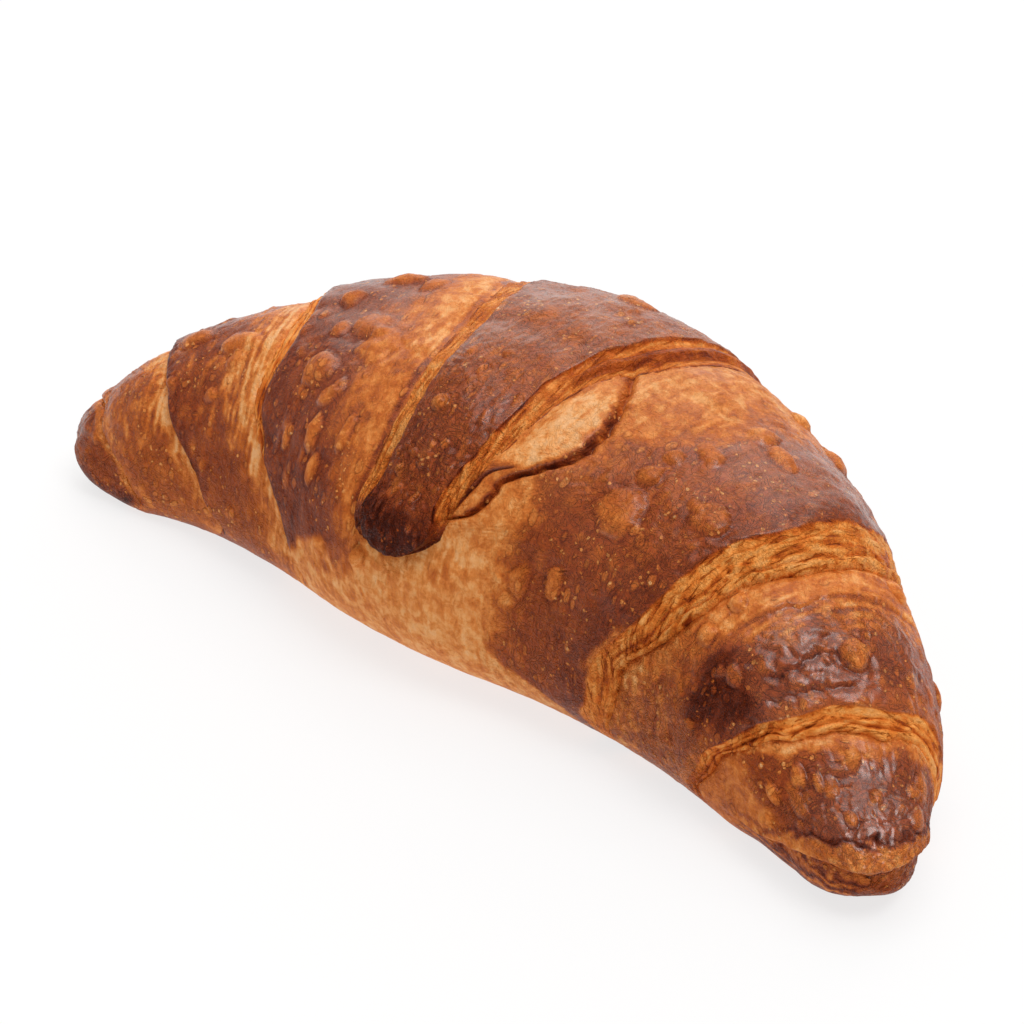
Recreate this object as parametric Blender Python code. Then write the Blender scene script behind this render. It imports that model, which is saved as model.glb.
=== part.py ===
"""Pretzel croissant, baked, in one solid.

A crescent rolled from a dough triangle: a plain loaf shape follows a bent centre line, the
rolled layers stand over it as bands whose edges run round it in a slow helix, and the point
of the triangle lies on top as a flap. Blisters of the crust sit on the bands.

Sizes are in millimetres, angles round the roll in degrees: 0 is the inner side of the
crescent, 90 the crest, 180 the outer side and 270 the underside. "Along" is the place on the
centre line, from -1 at the left tip to 1 at the right one.
"""

import math

import bpy
import numpy as np

MM = 0.001

# Centre line, seen from above, and how it bends from the middle to the tips.
HALF_RUN = 84.0
BEND_MIDDLE = 0.532
BEND_SKEW = 0.078
BEND_TIPS = 0.388

# Half width and height of the roll at stations along the centre line.
STATIONS = (-1.0, -0.8, -0.55, -0.28, 0.0, 0.28, 0.55, 0.8, 1.0)
HALF_WIDTHS = (9.3, 15.1, 24.3, 32.7, 34.5, 29.7, 23.9, 17.9, 12.2)
HEIGHTS = (19.4, 30.4, 40.3, 47.2, 49.7, 48.3, 43.3, 33.8, 20.2)

# Section: share of the height where it is widest, and how square its top and foot are.
WAIST = 0.42
TOP_SQUARENESS = 2.2
FOOT_SQUARENESS = 3.2
PRESSED = 1.4

# Rounded tips, along the centre line.
TIP_ROUND_FROM = 0.9
TIP_LEFT = -1.085
TIP_RIGHT = 1.145
TIP_CENTRE = 0.45

# Place of the frame: the middle of the box at the foot.
FRAME_X = 2.24
FRAME_Y = 23.98

# Edges of the rolled layers, as places along the centre line at these angles round the roll.
EDGE_ANGLES = (-20, 0, 20, 40, 60, 90, 120, 150, 200)
EDGE_PLACES = {
    "left_second": (-0.385, -0.462, -0.53, -0.57, -0.55, -0.562, -0.58, -0.595, -0.615),
    "left_third": (-0.68, -0.745, -0.79, -0.828, -0.853, -0.872, -0.88, -0.885, -0.89),
    "left_tip": (-0.91, -0.945, -0.99, -1.008, -1.012, -1.015, -1.015, -1.01, -1.0),
    "right_second": (0.43, 0.464, 0.54, 0.575, 0.60, 0.625, 0.615, 0.582, 0.57),
    "right_third": (0.72, 0.775, 0.845, 0.882, 0.902, 0.91, 0.912, 0.915, 0.92),
}
# Of each edge: drop to the next layer, groove at its foot, width of the cut edge, leaves in it.
EDGE_FORMS = {
    "left_second": (1.59, 0.37, 3.92, 3),
    "left_third": (1.31, 0.28, 1.4, 1),
    "left_tip": (0.84, 0.19, 1.03, 1),
    "right_second": (2.05, 0.56, 5.97, 4),
    "right_third": (1.68, 0.56, 2.43, 2),
}
# A cut edge narrows to this share at the table, and is full from the second angle on.
CUT_NARROW = 0.4
CUT_WIDENS = (0.0, 60.0)
# The drop is smaller on the outer side of the crescent, beyond these angles.
DROP_AT_BACK = 0.6
DROP_EASES = (100.0, 150.0)
# How far the swell before an edge and the groove after it reach, and how the edge is rounded.
SWELL_REACH = 10.3
GROOVE_REACH = 7.5
EDGE_ROUND = 0.28
EDGE_ROUND_REACH = 0.84
EDGE_WANDER = 0.47
# Share of a leaf's width that is its riser, and how far the leaves wander across the cut edge.
RISER = 0.45
LEAF_WANDER = 0.3

# The relief fades out under the roll, where the tray pressed it flat.
RELIEF_FULL = (6.0, 190.0)
RELIEF_GONE = (-34.0, 226.0)

# The torn crust beside the flap, where pale dough swells out.
TEAR_ANGLES = (18, 23, 28, 35, 43, 48, 54, 63, 74, 84)
TEAR_PLACES = (0.02, 0.051, 0.113, 0.14, 0.16, 0.205, 0.243, 0.258, 0.248, 0.225)
TEAR_FROM, TEAR_TO = 18.0, 82.0
TEAR_FADE = 10.0
TEAR_DEPTH = 1.4
TEAR_HALF_WIDTH = 0.84
TEAR_SHOULDER = 2.4
TEAR_CRUST_LIFT = 0.75
TEAR_CRUST_REACH = 5.0
PALE_SWELL = 1.1
PALE_WIDTH = 11.2

# The flap on top, from its point on the inner side over the crest to the outer side.
FLAP_POINT = 7.5
FLAP_END = 238.0
FLAP_ANGLES = (9, 16, 30, 46, 65, 83, 98, 115, 150, 180, 238)
FLAP_LEFT = (-0.15, -0.152, -0.143, -0.141, -0.15, -0.157, -0.176, -0.204, -0.23, -0.245, -0.27)
FLAP_RIGHT = (0.0, 0.032, 0.027, 0.055, 0.08, 0.108, 0.16, 0.187, 0.215, 0.235, 0.28)
FLAP_CUT_RIGHT = (1.1, 1.4, 3.5, 4.2, 3.4, 2.4, 2.2, 2.1, 2.1, 2.1, 2.1)
FLAP_CUT_LEFT = 2.1
FLAP_LEAVES_LEFT = 1
FLAP_LEAVES_RIGHT = 3
FLAP_THICKNESS = 2.6
FLAP_POINT_THICKNESS = 4.1
FLAP_POINT_REACH = 12.0
FLAP_ROUNDING = 10.0
FLAP_BLUNTNESS = 0.3
FLAP_THIN_AT_POINT = 0.35
FLAP_SINKS_FROM = 196.0
FLAP_SINKS_BELOW = 1.2
FLAP_DEPTH = 2.8
FLAP_TUCK = 0.75
FLAP_SHOULDER = 0.8
FLAP_BED = 1.5
FLAP_BED_REACH = 10.3
FLAP_BED_FADE = 8.0

# The ledge round the right tip, where the roll's inner end shows under the last layer.
LEDGE_FROM = 0.76
LEDGE_FADE = 0.1
LEDGE_HEIGHT = 5.6
LEDGE_HEIGHT_AT_TIP = 7.0
LEDGE_RISES_FROM = 0.96
LEDGE_DEPTH = 1.1
LEDGE_SOFT = 0.9

# Slow unevenness of the whole surface.
LUMP = 0.51

# Blisters: along, angle round the roll, half length round the roll, half width, height.
BLISTERS = (
    (0.402, 52, 4.3, 4.3, 1.40),
    (0.392, 67, 2.1, 2.0, 0.93),
    (0.424, 86, 1.7, 2.4, 0.75),
    (0.477, 106, 2.1, 3.0, 1.12),
    (0.419, 106, 2.2, 2.2, 1.12),
    (0.422, 146, 2.2, 2.1, 1.12),
    (0.546, 71, 2.3, 3.0, 1.03),
    (0.691, 40, 1.7, 1.7, 1.03),
    (0.845, 97, 2.2, 2.2, 1.21),
    (0.265, 14, 2.8, 1.6, 0.93),
    (0.347, 19, 2.8, 1.7, 1.03),
    (0.945, 14, 1.2, 1.6, 0.75),
    (1.012, 60, 1.4, 1.5, 0.75),
    (-0.449, 59, 3.3, 3.4, 1.31),
    (-0.395, 48, 1.9, 1.8, 0.84),
    (-0.310, 36, 2.8, 1.3, 0.84),
    (-0.387, 33, 2.4, 1.5, 0.75),
    (-0.399, 82, 3.2, 3.7, 1.12),
    (-0.427, 108, 2.4, 3.2, 1.12),
    (-0.703, 78, 2.4, 3.4, 1.12),
    (-0.815, 92, 2.1, 2.4, 0.93),
    (-0.088, 56, 1.6, 1.5, 0.84),
    (0.330, 142, 2.1, 1.8, 1.12),
    (0.710, 140, 1.9, 1.9, 1.03),
    (-0.620, 140, 2.1, 1.8, 1.03),
    (-0.350, 150, 2.6, 2.1, 1.12),
)
BLISTER_SUNK = 0.6

# Fineness of the surface: rings between the layer edges, and points round the roll.
BODY_CELLS = {
    "left_end": 5,
    "left_tip": 5,
    "left_third": 6,
    "left_second": 13,
    "right_second": 9,
    "right_third": 6,
    "right_end": 6,
}
POINTS_ABOVE = 40
POINTS_BELOW = 11
FLAP_ROWS = 36
FLAP_CROWN_CELLS = 6
FLAP_BASE_CELLS = 5

CRUST_COLOUR = (0.32, 0.12, 0.045, 1.0)
CRUST_ROUGHNESS = 0.45
SHARP_FROM = 32.0


def smooth_through(stations, values, at):
    """A smooth curve through a few stations, held level beyond the first and the last."""
    x = np.asarray(stations, float)
    y = np.asarray(values, float)
    at = np.clip(at, x[0], x[-1])
    slope = np.gradient(y, x)
    index = np.clip(np.searchsorted(x, at, side="right") - 1, 0, len(x) - 2)
    step = x[index + 1] - x[index]
    t = (at - x[index]) / step
    return (
        y[index] * (1 + 2 * t) * (1 - t) ** 2
        + y[index + 1] * t**2 * (3 - 2 * t)
        + step * (slope[index] * t * (1 - t) ** 2 - slope[index + 1] * t**2 * (1 - t))
    )


def ease(low, high, at):
    """0 below low, 1 above high, and a soft step between. low may be the larger."""
    t = np.clip((at - low) / (high - low), 0.0, 1.0)
    return t * t * (3 - 2 * t)


def centre_line():
    """Places along, with the points and headings there, turned so that the tips lie on one line."""
    along = np.linspace(-1.2, 1.2, 2401)
    heading = -(BEND_MIDDLE * along + BEND_SKEW * along**2 / 2 + BEND_TIPS * along**3 / 3)
    step = HALF_RUN * (along[1] - along[0])
    x = np.cumsum(np.cos(heading)) * step
    y = np.cumsum(np.sin(heading)) * step
    left = int(np.searchsorted(along, -1.0))
    right = int(np.searchsorted(along, 1.0))
    turn = -math.atan2(y[right] - y[left], x[right] - x[left])
    x = x - (x[left] + x[right]) / 2
    y = y - (y[left] + y[right]) / 2
    turned_x = x * math.cos(turn) - y * math.sin(turn)
    turned_y = x * math.sin(turn) + y * math.cos(turn)
    return along, turned_x, turned_y, heading + turn


CENTRE = centre_line()


def plain_point(along, angle):
    """A point of the plain loaf, before the layers are put on."""
    table, line_x, line_y, headings = CENTRE
    x = np.interp(along, table, line_x)
    y = np.interp(along, table, line_y)
    heading = np.interp(along, table, headings)
    end = np.where(along < 0, TIP_LEFT, TIP_RIGHT)
    past = np.clip((np.abs(along) - TIP_ROUND_FROM) / (np.abs(end) - TIP_ROUND_FROM), 0, 1)
    shrink = np.sqrt(np.clip(1 - past**2, 0, 1))
    width = smooth_through(STATIONS, HALF_WIDTHS, along) * shrink
    height = smooth_through(STATIONS, HEIGHTS, along)
    turn = np.radians(angle)
    cosine, sine = -np.cos(turn), np.sin(turn)
    above = sine > 0
    power = np.where(above, 2 / TOP_SQUARENESS, 2 / FOOT_SQUARENESS)
    across = np.sign(cosine) * np.abs(cosine) ** power * width
    level = np.where(above, (1 - WAIST), WAIST) * np.sign(sine) * np.abs(sine) ** power + WAIST
    z = height * (TIP_CENTRE + (level - TIP_CENTRE) * shrink)
    z = z - PRESSED * ease(0.5, 0.0, level)
    return np.stack([x - np.sin(heading) * across, y + np.cos(heading) * across, z], -1)


def outward(along, angle):
    """Unit normal of the plain loaf, pointing out."""
    small_along, small_angle = 0.004, 0.8
    inner = 0.9985
    held = np.clip(along, TIP_LEFT * inner + small_along, TIP_RIGHT * inner - small_along)
    d_along = plain_point(held + small_along, angle) - plain_point(held - small_along, angle)
    d_angle = plain_point(held, angle + small_angle) - plain_point(held, angle - small_angle)
    normal = np.cross(d_along, d_angle)
    return normal / np.maximum(np.linalg.norm(normal, axis=-1, keepdims=True), 1e-9)


def round_angle(angle):
    """The same angle between -70 and 290, so that the underside is where it wraps."""
    return (np.asarray(angle, float) + 70.0) % 360.0 - 70.0


def edge_place(name, angle):
    """Place along of a layer's edge at an angle round the roll, with a small natural wander."""
    turned = round_angle(angle)
    place = smooth_through(EDGE_ANGLES, EDGE_PLACES[name], turned)
    back = ease(200.0, 290.0, turned) * 0.5 + ease(-20.0, -70.0, turned) * 0.5
    last, first = EDGE_PLACES[name][-1], EDGE_PLACES[name][0]
    place = np.where(turned > 200.0, last + (first - last) * back, place)
    place = np.where(turned < -20.0, first + (last - first) * back, place)
    phase = 1.7 * (1 + sorted(EDGE_PLACES).index(name))
    radians = np.radians(angle)
    wave = np.sin(3 * radians + phase) + 0.6 * np.sin(7 * radians + 2.3 * phase)
    return place + EDGE_WANDER * wave / HALF_RUN


def relief_share(angle):
    """1 round the visible part of the roll and 0 under it."""
    turned = round_angle(angle)
    low = ease(RELIEF_GONE[0], RELIEF_FULL[0], turned)
    return low * ease(RELIEF_GONE[1], RELIEF_FULL[1], turned)


def leaf_starts(leaves, angle):
    """Where the leaves of a cut edge start across it, as shares of its width, and where they end."""
    turn = np.radians(angle)
    starts = [np.zeros_like(turn)]
    for leaf in range(1, leaves):
        wave = np.sin((2 + leaf) * turn + 2.1 * leaf)
        starts.append((leaf + LEAF_WANDER * wave) / leaves)
    return starts + [np.ones_like(turn)]


def cut_steps(share, leaves, angle):
    """How far down a cut edge has come, 0 to 1: a riser and a tread for each of its leaves."""
    starts = leaf_starts(leaves, angle)
    risers = [
        np.clip((share - start) / (RISER * (stop - start)), 0, 1)
        for start, stop in zip(starts, starts[1:])
    ]
    return sum(risers) / leaves


def cut_stops(leaves, angle):
    """Places across a cut edge where a riser starts or ends, as shares of its width."""
    starts = leaf_starts(leaves, angle)
    return [
        start + RISER * part * (stop - start)
        for start, stop in zip(starts, starts[1:])
        for part in (0.0, 1.0)
    ]


def cut_width(name, angle):
    """Width of a layer's cut edge: it narrows towards the table."""
    width = EDGE_FORMS[name][2]
    return width * (CUT_NARROW + (1 - CUT_NARROW) * ease(*CUT_WIDENS, round_angle(angle)))


def edge_relief(name, along, angle):
    """Height of one layer's edge: a swell up to it, the cut edge, and the groove at its foot."""
    drop, groove, _, leaves = EDGE_FORMS[name]
    cut = cut_width(name, angle)
    out = (along - edge_place(name, angle)) * HALF_RUN
    if name.startswith("left"):
        out = -out
    top = drop / 2 * np.exp(-np.maximum(-out, 0) / SWELL_REACH)
    top = top - EDGE_ROUND * np.exp(-np.maximum(-out, 0) / EDGE_ROUND_REACH)
    foot = -(drop / 2 + groove) * np.exp(-np.maximum(out - cut, 0) / GROOVE_REACH)
    share = cut_steps(out / cut, leaves, angle)
    fade = 1 - (1 - DROP_AT_BACK) * ease(*DROP_EASES, round_angle(angle))
    return (top * (1 - share) + foot * share) * fade


def flap_bed(along, angle):
    """The layer under the flap lies lower, and rises again beyond the flap's edges."""
    left, right = flap_edges(angle)
    reach = FLAP_BED_REACH / HALF_RUN
    share = ease(left - reach, left, along) * ease(right + reach, right, along)
    near = ease(FLAP_POINT - FLAP_BED_FADE, FLAP_POINT + FLAP_BED_FADE, round_angle(angle))
    return -FLAP_BED * share * near


def flap_edges(angle):
    """Places along of the flap's left and right edges, where its dark top ends."""
    left = smooth_through(FLAP_ANGLES, FLAP_LEFT, angle)
    right = smooth_through(FLAP_ANGLES, FLAP_RIGHT, angle)
    return left, right


def tear_place(angle):
    """Place along of the tear at an angle round the roll."""
    return smooth_through(TEAR_ANGLES, TEAR_PLACES, round_angle(angle))


def tear_relief(along, angle):
    """The tear beside the flap: pale dough swelling on its left, and crust standing up on its right."""
    turned = round_angle(angle)
    share = ease(TEAR_FROM, TEAR_FROM + TEAR_FADE, turned)
    share = share * ease(TEAR_TO, TEAR_TO - TEAR_FADE, turned)
    out = (along - tear_place(turned)) * HALF_RUN
    groove = -TEAR_DEPTH * np.exp(-((out / TEAR_HALF_WIDTH) ** 2))
    crust = TEAR_CRUST_LIFT * np.exp(-np.maximum(out, 0) / TEAR_CRUST_REACH) * (out > 0)
    inside = np.clip(-out / PALE_WIDTH, 0, 1)
    swell = PALE_SWELL * np.sin(math.pi * inside) - TEAR_CRUST_LIFT * inside
    return share * (groove + crust + np.where(out < 0, swell, 0))


def ledge_relief(along, angle):
    """At the right tip the last layer ends above the table, and the roll's inner end is recessed."""
    level = plain_point(along, angle)[..., 2]
    rise = LEDGE_HEIGHT_AT_TIP - LEDGE_HEIGHT
    line = LEDGE_HEIGHT + rise * ease(LEDGE_RISES_FROM, TIP_RIGHT, along)
    near_tip = ease(LEDGE_FROM, LEDGE_FROM + LEDGE_FADE, along)
    return -LEDGE_DEPTH * near_tip * ease(-LEDGE_SOFT, LEDGE_SOFT, line - level)


def lumps(point):
    """Slow unevenness, from the place of the point."""
    x, y, z = point[..., 0], point[..., 1], point[..., 2]
    one = np.sin(x / 9.0 + 1.3 * np.sin(y / 12.0)) * np.cos(z / 8.0 + 0.7)
    two = np.sin(x / 5.5 + y / 7.5 + 2.0) * np.sin(z / 6.5 - x / 13.0)
    return LUMP * (0.7 * one + 0.4 * two)


def relief(along, angle):
    """Height of the layers over the plain loaf."""
    total = sum(edge_relief(name, along, angle) for name in EDGE_PLACES)
    total = total + tear_relief(along, angle) + flap_bed(along, angle)
    total = total + lumps(plain_point(along, angle))
    return total * relief_share(angle) + ledge_relief(along, angle)


def skin_point(along, angle, lift=0.0):
    """A point of the rolled surface, or lift above it, kept on or above the table."""
    raised = relief(along, angle) + lift
    point = plain_point(along, angle) + outward(along, angle) * np.asarray(raised)[..., None]
    point[..., 2] = np.maximum(point[..., 2], 0.0)
    return point


def angles_round():
    """Angles of the body's points: close together above the table, wide apart below it."""
    first, last = RELIEF_FULL
    above = np.linspace(first, last, POINTS_ABOVE, endpoint=False)
    below = np.linspace(last, first + 360.0, POINTS_BELOW, endpoint=False)
    return np.concatenate([above, below])


def ring_places(angle):
    """Places along of every ring at these angles, from the left tip to the right one."""
    stops = [np.full_like(angle, TIP_LEFT)]
    cells = []

    def reach(place, count=1):
        stops.append(place)
        cells.append(count)

    for name, before in (
        ("left_tip", "left_end"),
        ("left_third", "left_tip"),
        ("left_second", "left_third"),
    ):
        cut, leaves = cut_width(name, angle), EDGE_FORMS[name][3]
        edge = edge_place(name, angle)
        reach(edge - cut / HALF_RUN, BODY_CELLS[before])
        for share in reversed(cut_stops(leaves, angle)):
            reach(edge - cut * share / HALF_RUN)
    tear = tear_place(angle)
    reach(tear - TEAR_SHOULDER / HALF_RUN, BODY_CELLS["left_second"])
    for step in (-TEAR_HALF_WIDTH, 0.0, TEAR_HALF_WIDTH, TEAR_SHOULDER):
        reach(tear + step / HALF_RUN)
    for name in ("right_second", "right_third"):
        cut, leaves = cut_width(name, angle), EDGE_FORMS[name][3]
        edge = edge_place(name, angle)
        reach(edge, BODY_CELLS[name])
        for share in cut_stops(leaves, angle)[1:] + [1.0]:
            reach(edge + cut * share / HALF_RUN)
    reach(np.full_like(angle, TIP_RIGHT), BODY_CELLS["right_end"])
    rings = []
    for index, (start, stop, count) in enumerate(zip(stops, stops[1:], cells)):
        shares = np.arange(count) / count
        if index == 0:
            shares = shares**2
        if index == len(cells) - 1:
            shares = 1 - (1 - shares) ** 2
        rings += [start + (stop - start) * share for share in shares]
    return np.array(rings + [stops[-1]])


def closed_mesh(name, rings):
    """A closed mesh from rings of points. The first and last rings close on their middles."""
    count, around = rings.shape[:2]
    verts = rings.reshape(-1, 3)
    faces = []
    for i in range(count - 1):
        for j in range(around):
            k = (j + 1) % around
            faces.append((i * around + j, (i + 1) * around + j, (i + 1) * around + k, i * around + k))
    ends = np.array([rings[0].mean(0), rings[-1].mean(0)])
    verts = np.concatenate([verts, ends])
    first, last = len(verts) - 2, len(verts) - 1
    base = (count - 1) * around
    for j in range(around):
        k = (j + 1) % around
        faces.append((first, j, k))
        faces.append((last, base + k, base + j))
    mesh = bpy.data.meshes.new(name)
    mesh.from_pydata((verts * MM).tolist(), [], faces)
    mesh.update()
    return mesh


def body_mesh():
    """The rolled loaf: one ring of points at every place along."""
    angle = angles_round()
    places = ring_places(angle)[1:-1]
    rings = skin_point(places, np.broadcast_to(angle, places.shape))
    mesh = closed_mesh("croissant", rings)
    for index, end in ((len(mesh.vertices) - 2, TIP_LEFT), (len(mesh.vertices) - 1, TIP_RIGHT)):
        tip = plain_point(np.array([end]), np.array([90.0]))[0]
        mesh.vertices[index].co = tip * MM
    return mesh


def flap_loop(angle):
    """Places along and lifts of one closed loop round the flap, at an angle."""
    left, right = flap_edges(angle)
    short = max(0.0, (FLAP_POINT + FLAP_ROUNDING - angle) / FLAP_ROUNDING)
    fullness = math.sqrt(max(0.0, 1 - short**2))
    rounding = FLAP_BLUNTNESS + (1 - FLAP_BLUNTNESS) * fullness
    middle = (left + right) / 2
    half = (right - left) / 2 * rounding
    plump = ease(FLAP_POINT + 2 * FLAP_POINT_REACH, FLAP_POINT + FLAP_POINT_REACH, angle)
    thickness = FLAP_THICKNESS + (FLAP_POINT_THICKNESS - FLAP_THICKNESS) * plump
    thickness = thickness * (FLAP_THIN_AT_POINT + (1 - FLAP_THIN_AT_POINT) * fullness)
    sunk = (thickness + FLAP_SINKS_BELOW) * ease(FLAP_SINKS_FROM, FLAP_END, angle)
    cut_left = FLAP_CUT_LEFT * rounding / HALF_RUN
    cut_right = float(smooth_through(FLAP_ANGLES, FLAP_CUT_RIGHT, angle)) * rounding / HALF_RUN
    places = [middle - half - cut_left]
    lifts = [-FLAP_TUCK]
    for share in reversed(cut_stops(FLAP_LEAVES_LEFT, angle)):
        places.append(middle - half - cut_left * share)
        lifts.append(FLAP_SHOULDER * thickness * (1 - cut_steps(share, FLAP_LEAVES_LEFT, angle)))
    for i in range(1, FLAP_CROWN_CELLS):
        share = 2 * i / FLAP_CROWN_CELLS - 1
        places.append(middle + half * share)
        lifts.append(thickness * (FLAP_SHOULDER + (1 - FLAP_SHOULDER) * (1 - share**2)))
    for share in cut_stops(FLAP_LEAVES_RIGHT, angle):
        places.append(middle + half + cut_right * share)
        lifts.append(FLAP_SHOULDER * thickness * (1 - cut_steps(share, FLAP_LEAVES_RIGHT, angle)))
    places.append(middle + half + cut_right)
    lifts.append(-FLAP_TUCK)
    base = np.linspace(places[-1], places[0], FLAP_BASE_CELLS + 1)[1:-1]
    places += list(base)
    lifts += [-FLAP_DEPTH] * len(base)
    return places, [lift - sunk for lift in lifts]


def flap_mesh():
    """The point of the dough triangle, laid over the crest."""
    angles = FLAP_POINT + (FLAP_END - FLAP_POINT) * np.linspace(0, 1, FLAP_ROWS + 1)
    rows = []
    for angle in angles:
        places, lifts = flap_loop(float(angle))
        rows.append(skin_point(np.array(places), np.full(len(places), angle), np.array(lifts)))
    return closed_mesh("flap", np.array(rows)[:, ::-1])


def blister_ball(index, along, angle, half_round, half_along, height):
    """A low dome: a flattened ball that is sunk until only its cap stands over the crust."""
    at, turn = np.array([along]), np.array([float(angle)])
    left, right = flap_edges(turn)
    on_flap = left[0] < along < right[0] and angle > FLAP_POINT
    cap_share = math.sqrt(1 - BLISTER_SUNK**2)
    depth = height / (1 - BLISTER_SUNK)
    centre = skin_point(at, turn, (FLAP_THICKNESS if on_flap else 0.0) - BLISTER_SUNK * depth)[0]
    up = outward(at, turn)[0]
    step = plain_point(at + 0.01, turn)[0] - plain_point(at - 0.01, turn)[0]
    side = step - up * np.dot(step, up)
    side = side / np.linalg.norm(side)
    forward = np.cross(up, side)
    bpy.ops.mesh.primitive_ico_sphere_add(subdivisions=2, radius=1.0)
    ball = bpy.context.object
    ball.name = f"blister_{index:02d}"
    unit = np.array([v.co for v in ball.data.vertices])
    placed = centre + unit[:, :1] * side * half_along / cap_share
    placed = placed + unit[:, 1:2] * forward * half_round / cap_share + unit[:, 2:] * up * depth
    ball.data.vertices.foreach_set("co", (placed * MM).ravel())
    ball.data.update()
    return ball


def crust_material():
    """The plain colour of the crust."""
    material = bpy.data.materials.new("crust")
    material.use_nodes = True
    surface = material.node_tree.nodes["Principled BSDF"]
    surface.inputs["Base Color"].default_value = CRUST_COLOUR
    surface.inputs["Roughness"].default_value = CRUST_ROUGHNESS
    return material


def add_object(name, mesh):
    """Puts a mesh into the scene."""
    made = bpy.data.objects.new(name, mesh)
    bpy.context.scene.collection.objects.link(made)
    return made


def turn_faces_out(mesh):
    """Flips the faces of a closed mesh whose volume comes out negative."""
    points = np.array([v.co for v in mesh.vertices])
    mesh.calc_loop_triangles()
    corners = points[np.array([t.vertices[:] for t in mesh.loop_triangles])]
    volume = np.einsum("ij,ij->i", corners[:, 0], np.cross(corners[:, 1], corners[:, 2])).sum()
    if volume < 0:
        mesh.flip_normals()


def fuse(body, parts):
    """Joins the parts to the body by one Boolean union and removes them."""
    group = bpy.data.collections.new("fused")
    bpy.context.scene.collection.children.link(group)
    for part in parts:
        for owner in list(part.users_collection):
            owner.objects.unlink(part)
        group.objects.link(part)
    union = body.modifiers.new("union", "BOOLEAN")
    union.operation = "UNION"
    union.operand_type = "COLLECTION"
    union.collection = group
    union.solver = "MANIFOLD"
    bpy.context.view_layer.objects.active = body
    bpy.ops.object.modifier_apply(modifier=union.name)
    for part in parts:
        bpy.data.objects.remove(part)
    bpy.data.collections.remove(group)


def build():
    """Makes the croissant, in the frame with the middle of its box's foot at the origin."""
    for old in list(bpy.data.objects):
        bpy.data.objects.remove(old)
    croissant = add_object("croissant", body_mesh())
    flap = add_object("flap", flap_mesh())
    blisters = [blister_ball(i, *values) for i, values in enumerate(BLISTERS)]
    for made in [croissant, flap, *blisters]:
        turn_faces_out(made.data)
    fuse(croissant, [flap, *blisters])
    points = np.array([v.co for v in croissant.data.vertices])
    points[:, 0] -= FRAME_X * MM
    points[:, 1] -= FRAME_Y * MM
    croissant.data.vertices.foreach_set("co", points.ravel())
    croissant.data.materials.clear()
    croissant.data.materials.append(crust_material())
    croissant.data.shade_smooth()
    croissant.data.set_sharp_from_angle(angle=math.radians(SHARP_FROM))
    low, high = points.min(0) / MM, points.max(0) / MM
    print("box in mm:", low.round(2), high.round(2))


build()
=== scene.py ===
"""Looks of the pretzel croissant: the baked crust of every rolled layer.

The croissant is one solid in the frame. Here each rolled layer is a closed shell of its own, so that
one layer ends in a cut edge and the next comes out from under it. All shells follow the same shape
functions and named sizes as the solid, with the leaves, blisters, wrinkles and pits of the crust
added. Kept at every point are how far it is baked, how wrinkled, leafy and glossy it is, and its
place on the rolled-out dough.

Sizes are in millimetres, angles round the roll in degrees: 0 is the inner side of the crescent,
90 the crest, 180 the outer side and 270 the underside. "Along" is the place on the centre line,
from -1 at the left tip to 1 at the right one.
"""

import math

import bpy
import numpy as np
from mathutils import Matrix, Vector


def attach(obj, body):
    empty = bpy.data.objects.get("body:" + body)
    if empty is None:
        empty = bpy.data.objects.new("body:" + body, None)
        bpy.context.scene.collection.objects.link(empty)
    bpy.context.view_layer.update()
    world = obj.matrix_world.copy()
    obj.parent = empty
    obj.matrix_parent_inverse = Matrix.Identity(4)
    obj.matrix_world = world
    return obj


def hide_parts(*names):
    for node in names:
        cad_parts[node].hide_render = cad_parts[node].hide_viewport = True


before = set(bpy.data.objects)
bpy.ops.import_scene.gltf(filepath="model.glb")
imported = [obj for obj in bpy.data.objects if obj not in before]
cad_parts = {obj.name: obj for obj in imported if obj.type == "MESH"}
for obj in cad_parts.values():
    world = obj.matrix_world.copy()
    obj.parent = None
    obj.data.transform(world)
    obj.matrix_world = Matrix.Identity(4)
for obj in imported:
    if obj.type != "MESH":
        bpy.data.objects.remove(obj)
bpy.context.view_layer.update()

MM = 0.001

# Centre line, seen from above, and how it bends from the middle to the tips. It is worked out up to a
# reach beyond the tips.
HALF_RUN = 84.0
BEND_MIDDLE = 0.532
BEND_SKEW = 0.078
BEND_TIPS = 0.388
CENTRE_REACH = 1.2
CENTRE_POINTS = 2401

# Half width and height of the roll at stations along the centre line.
STATIONS = (-1.0, -0.8, -0.55, -0.28, 0.0, 0.28, 0.55, 0.8, 1.0)
HALF_WIDTHS = (9.3, 15.1, 24.3, 32.7, 34.5, 29.7, 23.9, 17.9, 12.2)
HEIGHTS = (19.4, 30.4, 40.3, 47.2, 49.7, 48.3, 43.3, 33.8, 20.2)

# Section: share of the height where it is widest, and how square its top and foot are.
WAIST = 0.42
TOP_SQUARENESS = 2.2
FOOT_SQUARENESS = 3.2
PRESSED = 1.4

# Rounded tips, along the centre line.
TIP_ROUND_FROM = 0.9
TIP_LEFT = -1.085
TIP_RIGHT = 1.145
TIP_CENTRE = 0.45

# Place of the frame: the middle of the box at the foot.
FRAME_X = 2.24
FRAME_Y = 23.98

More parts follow.
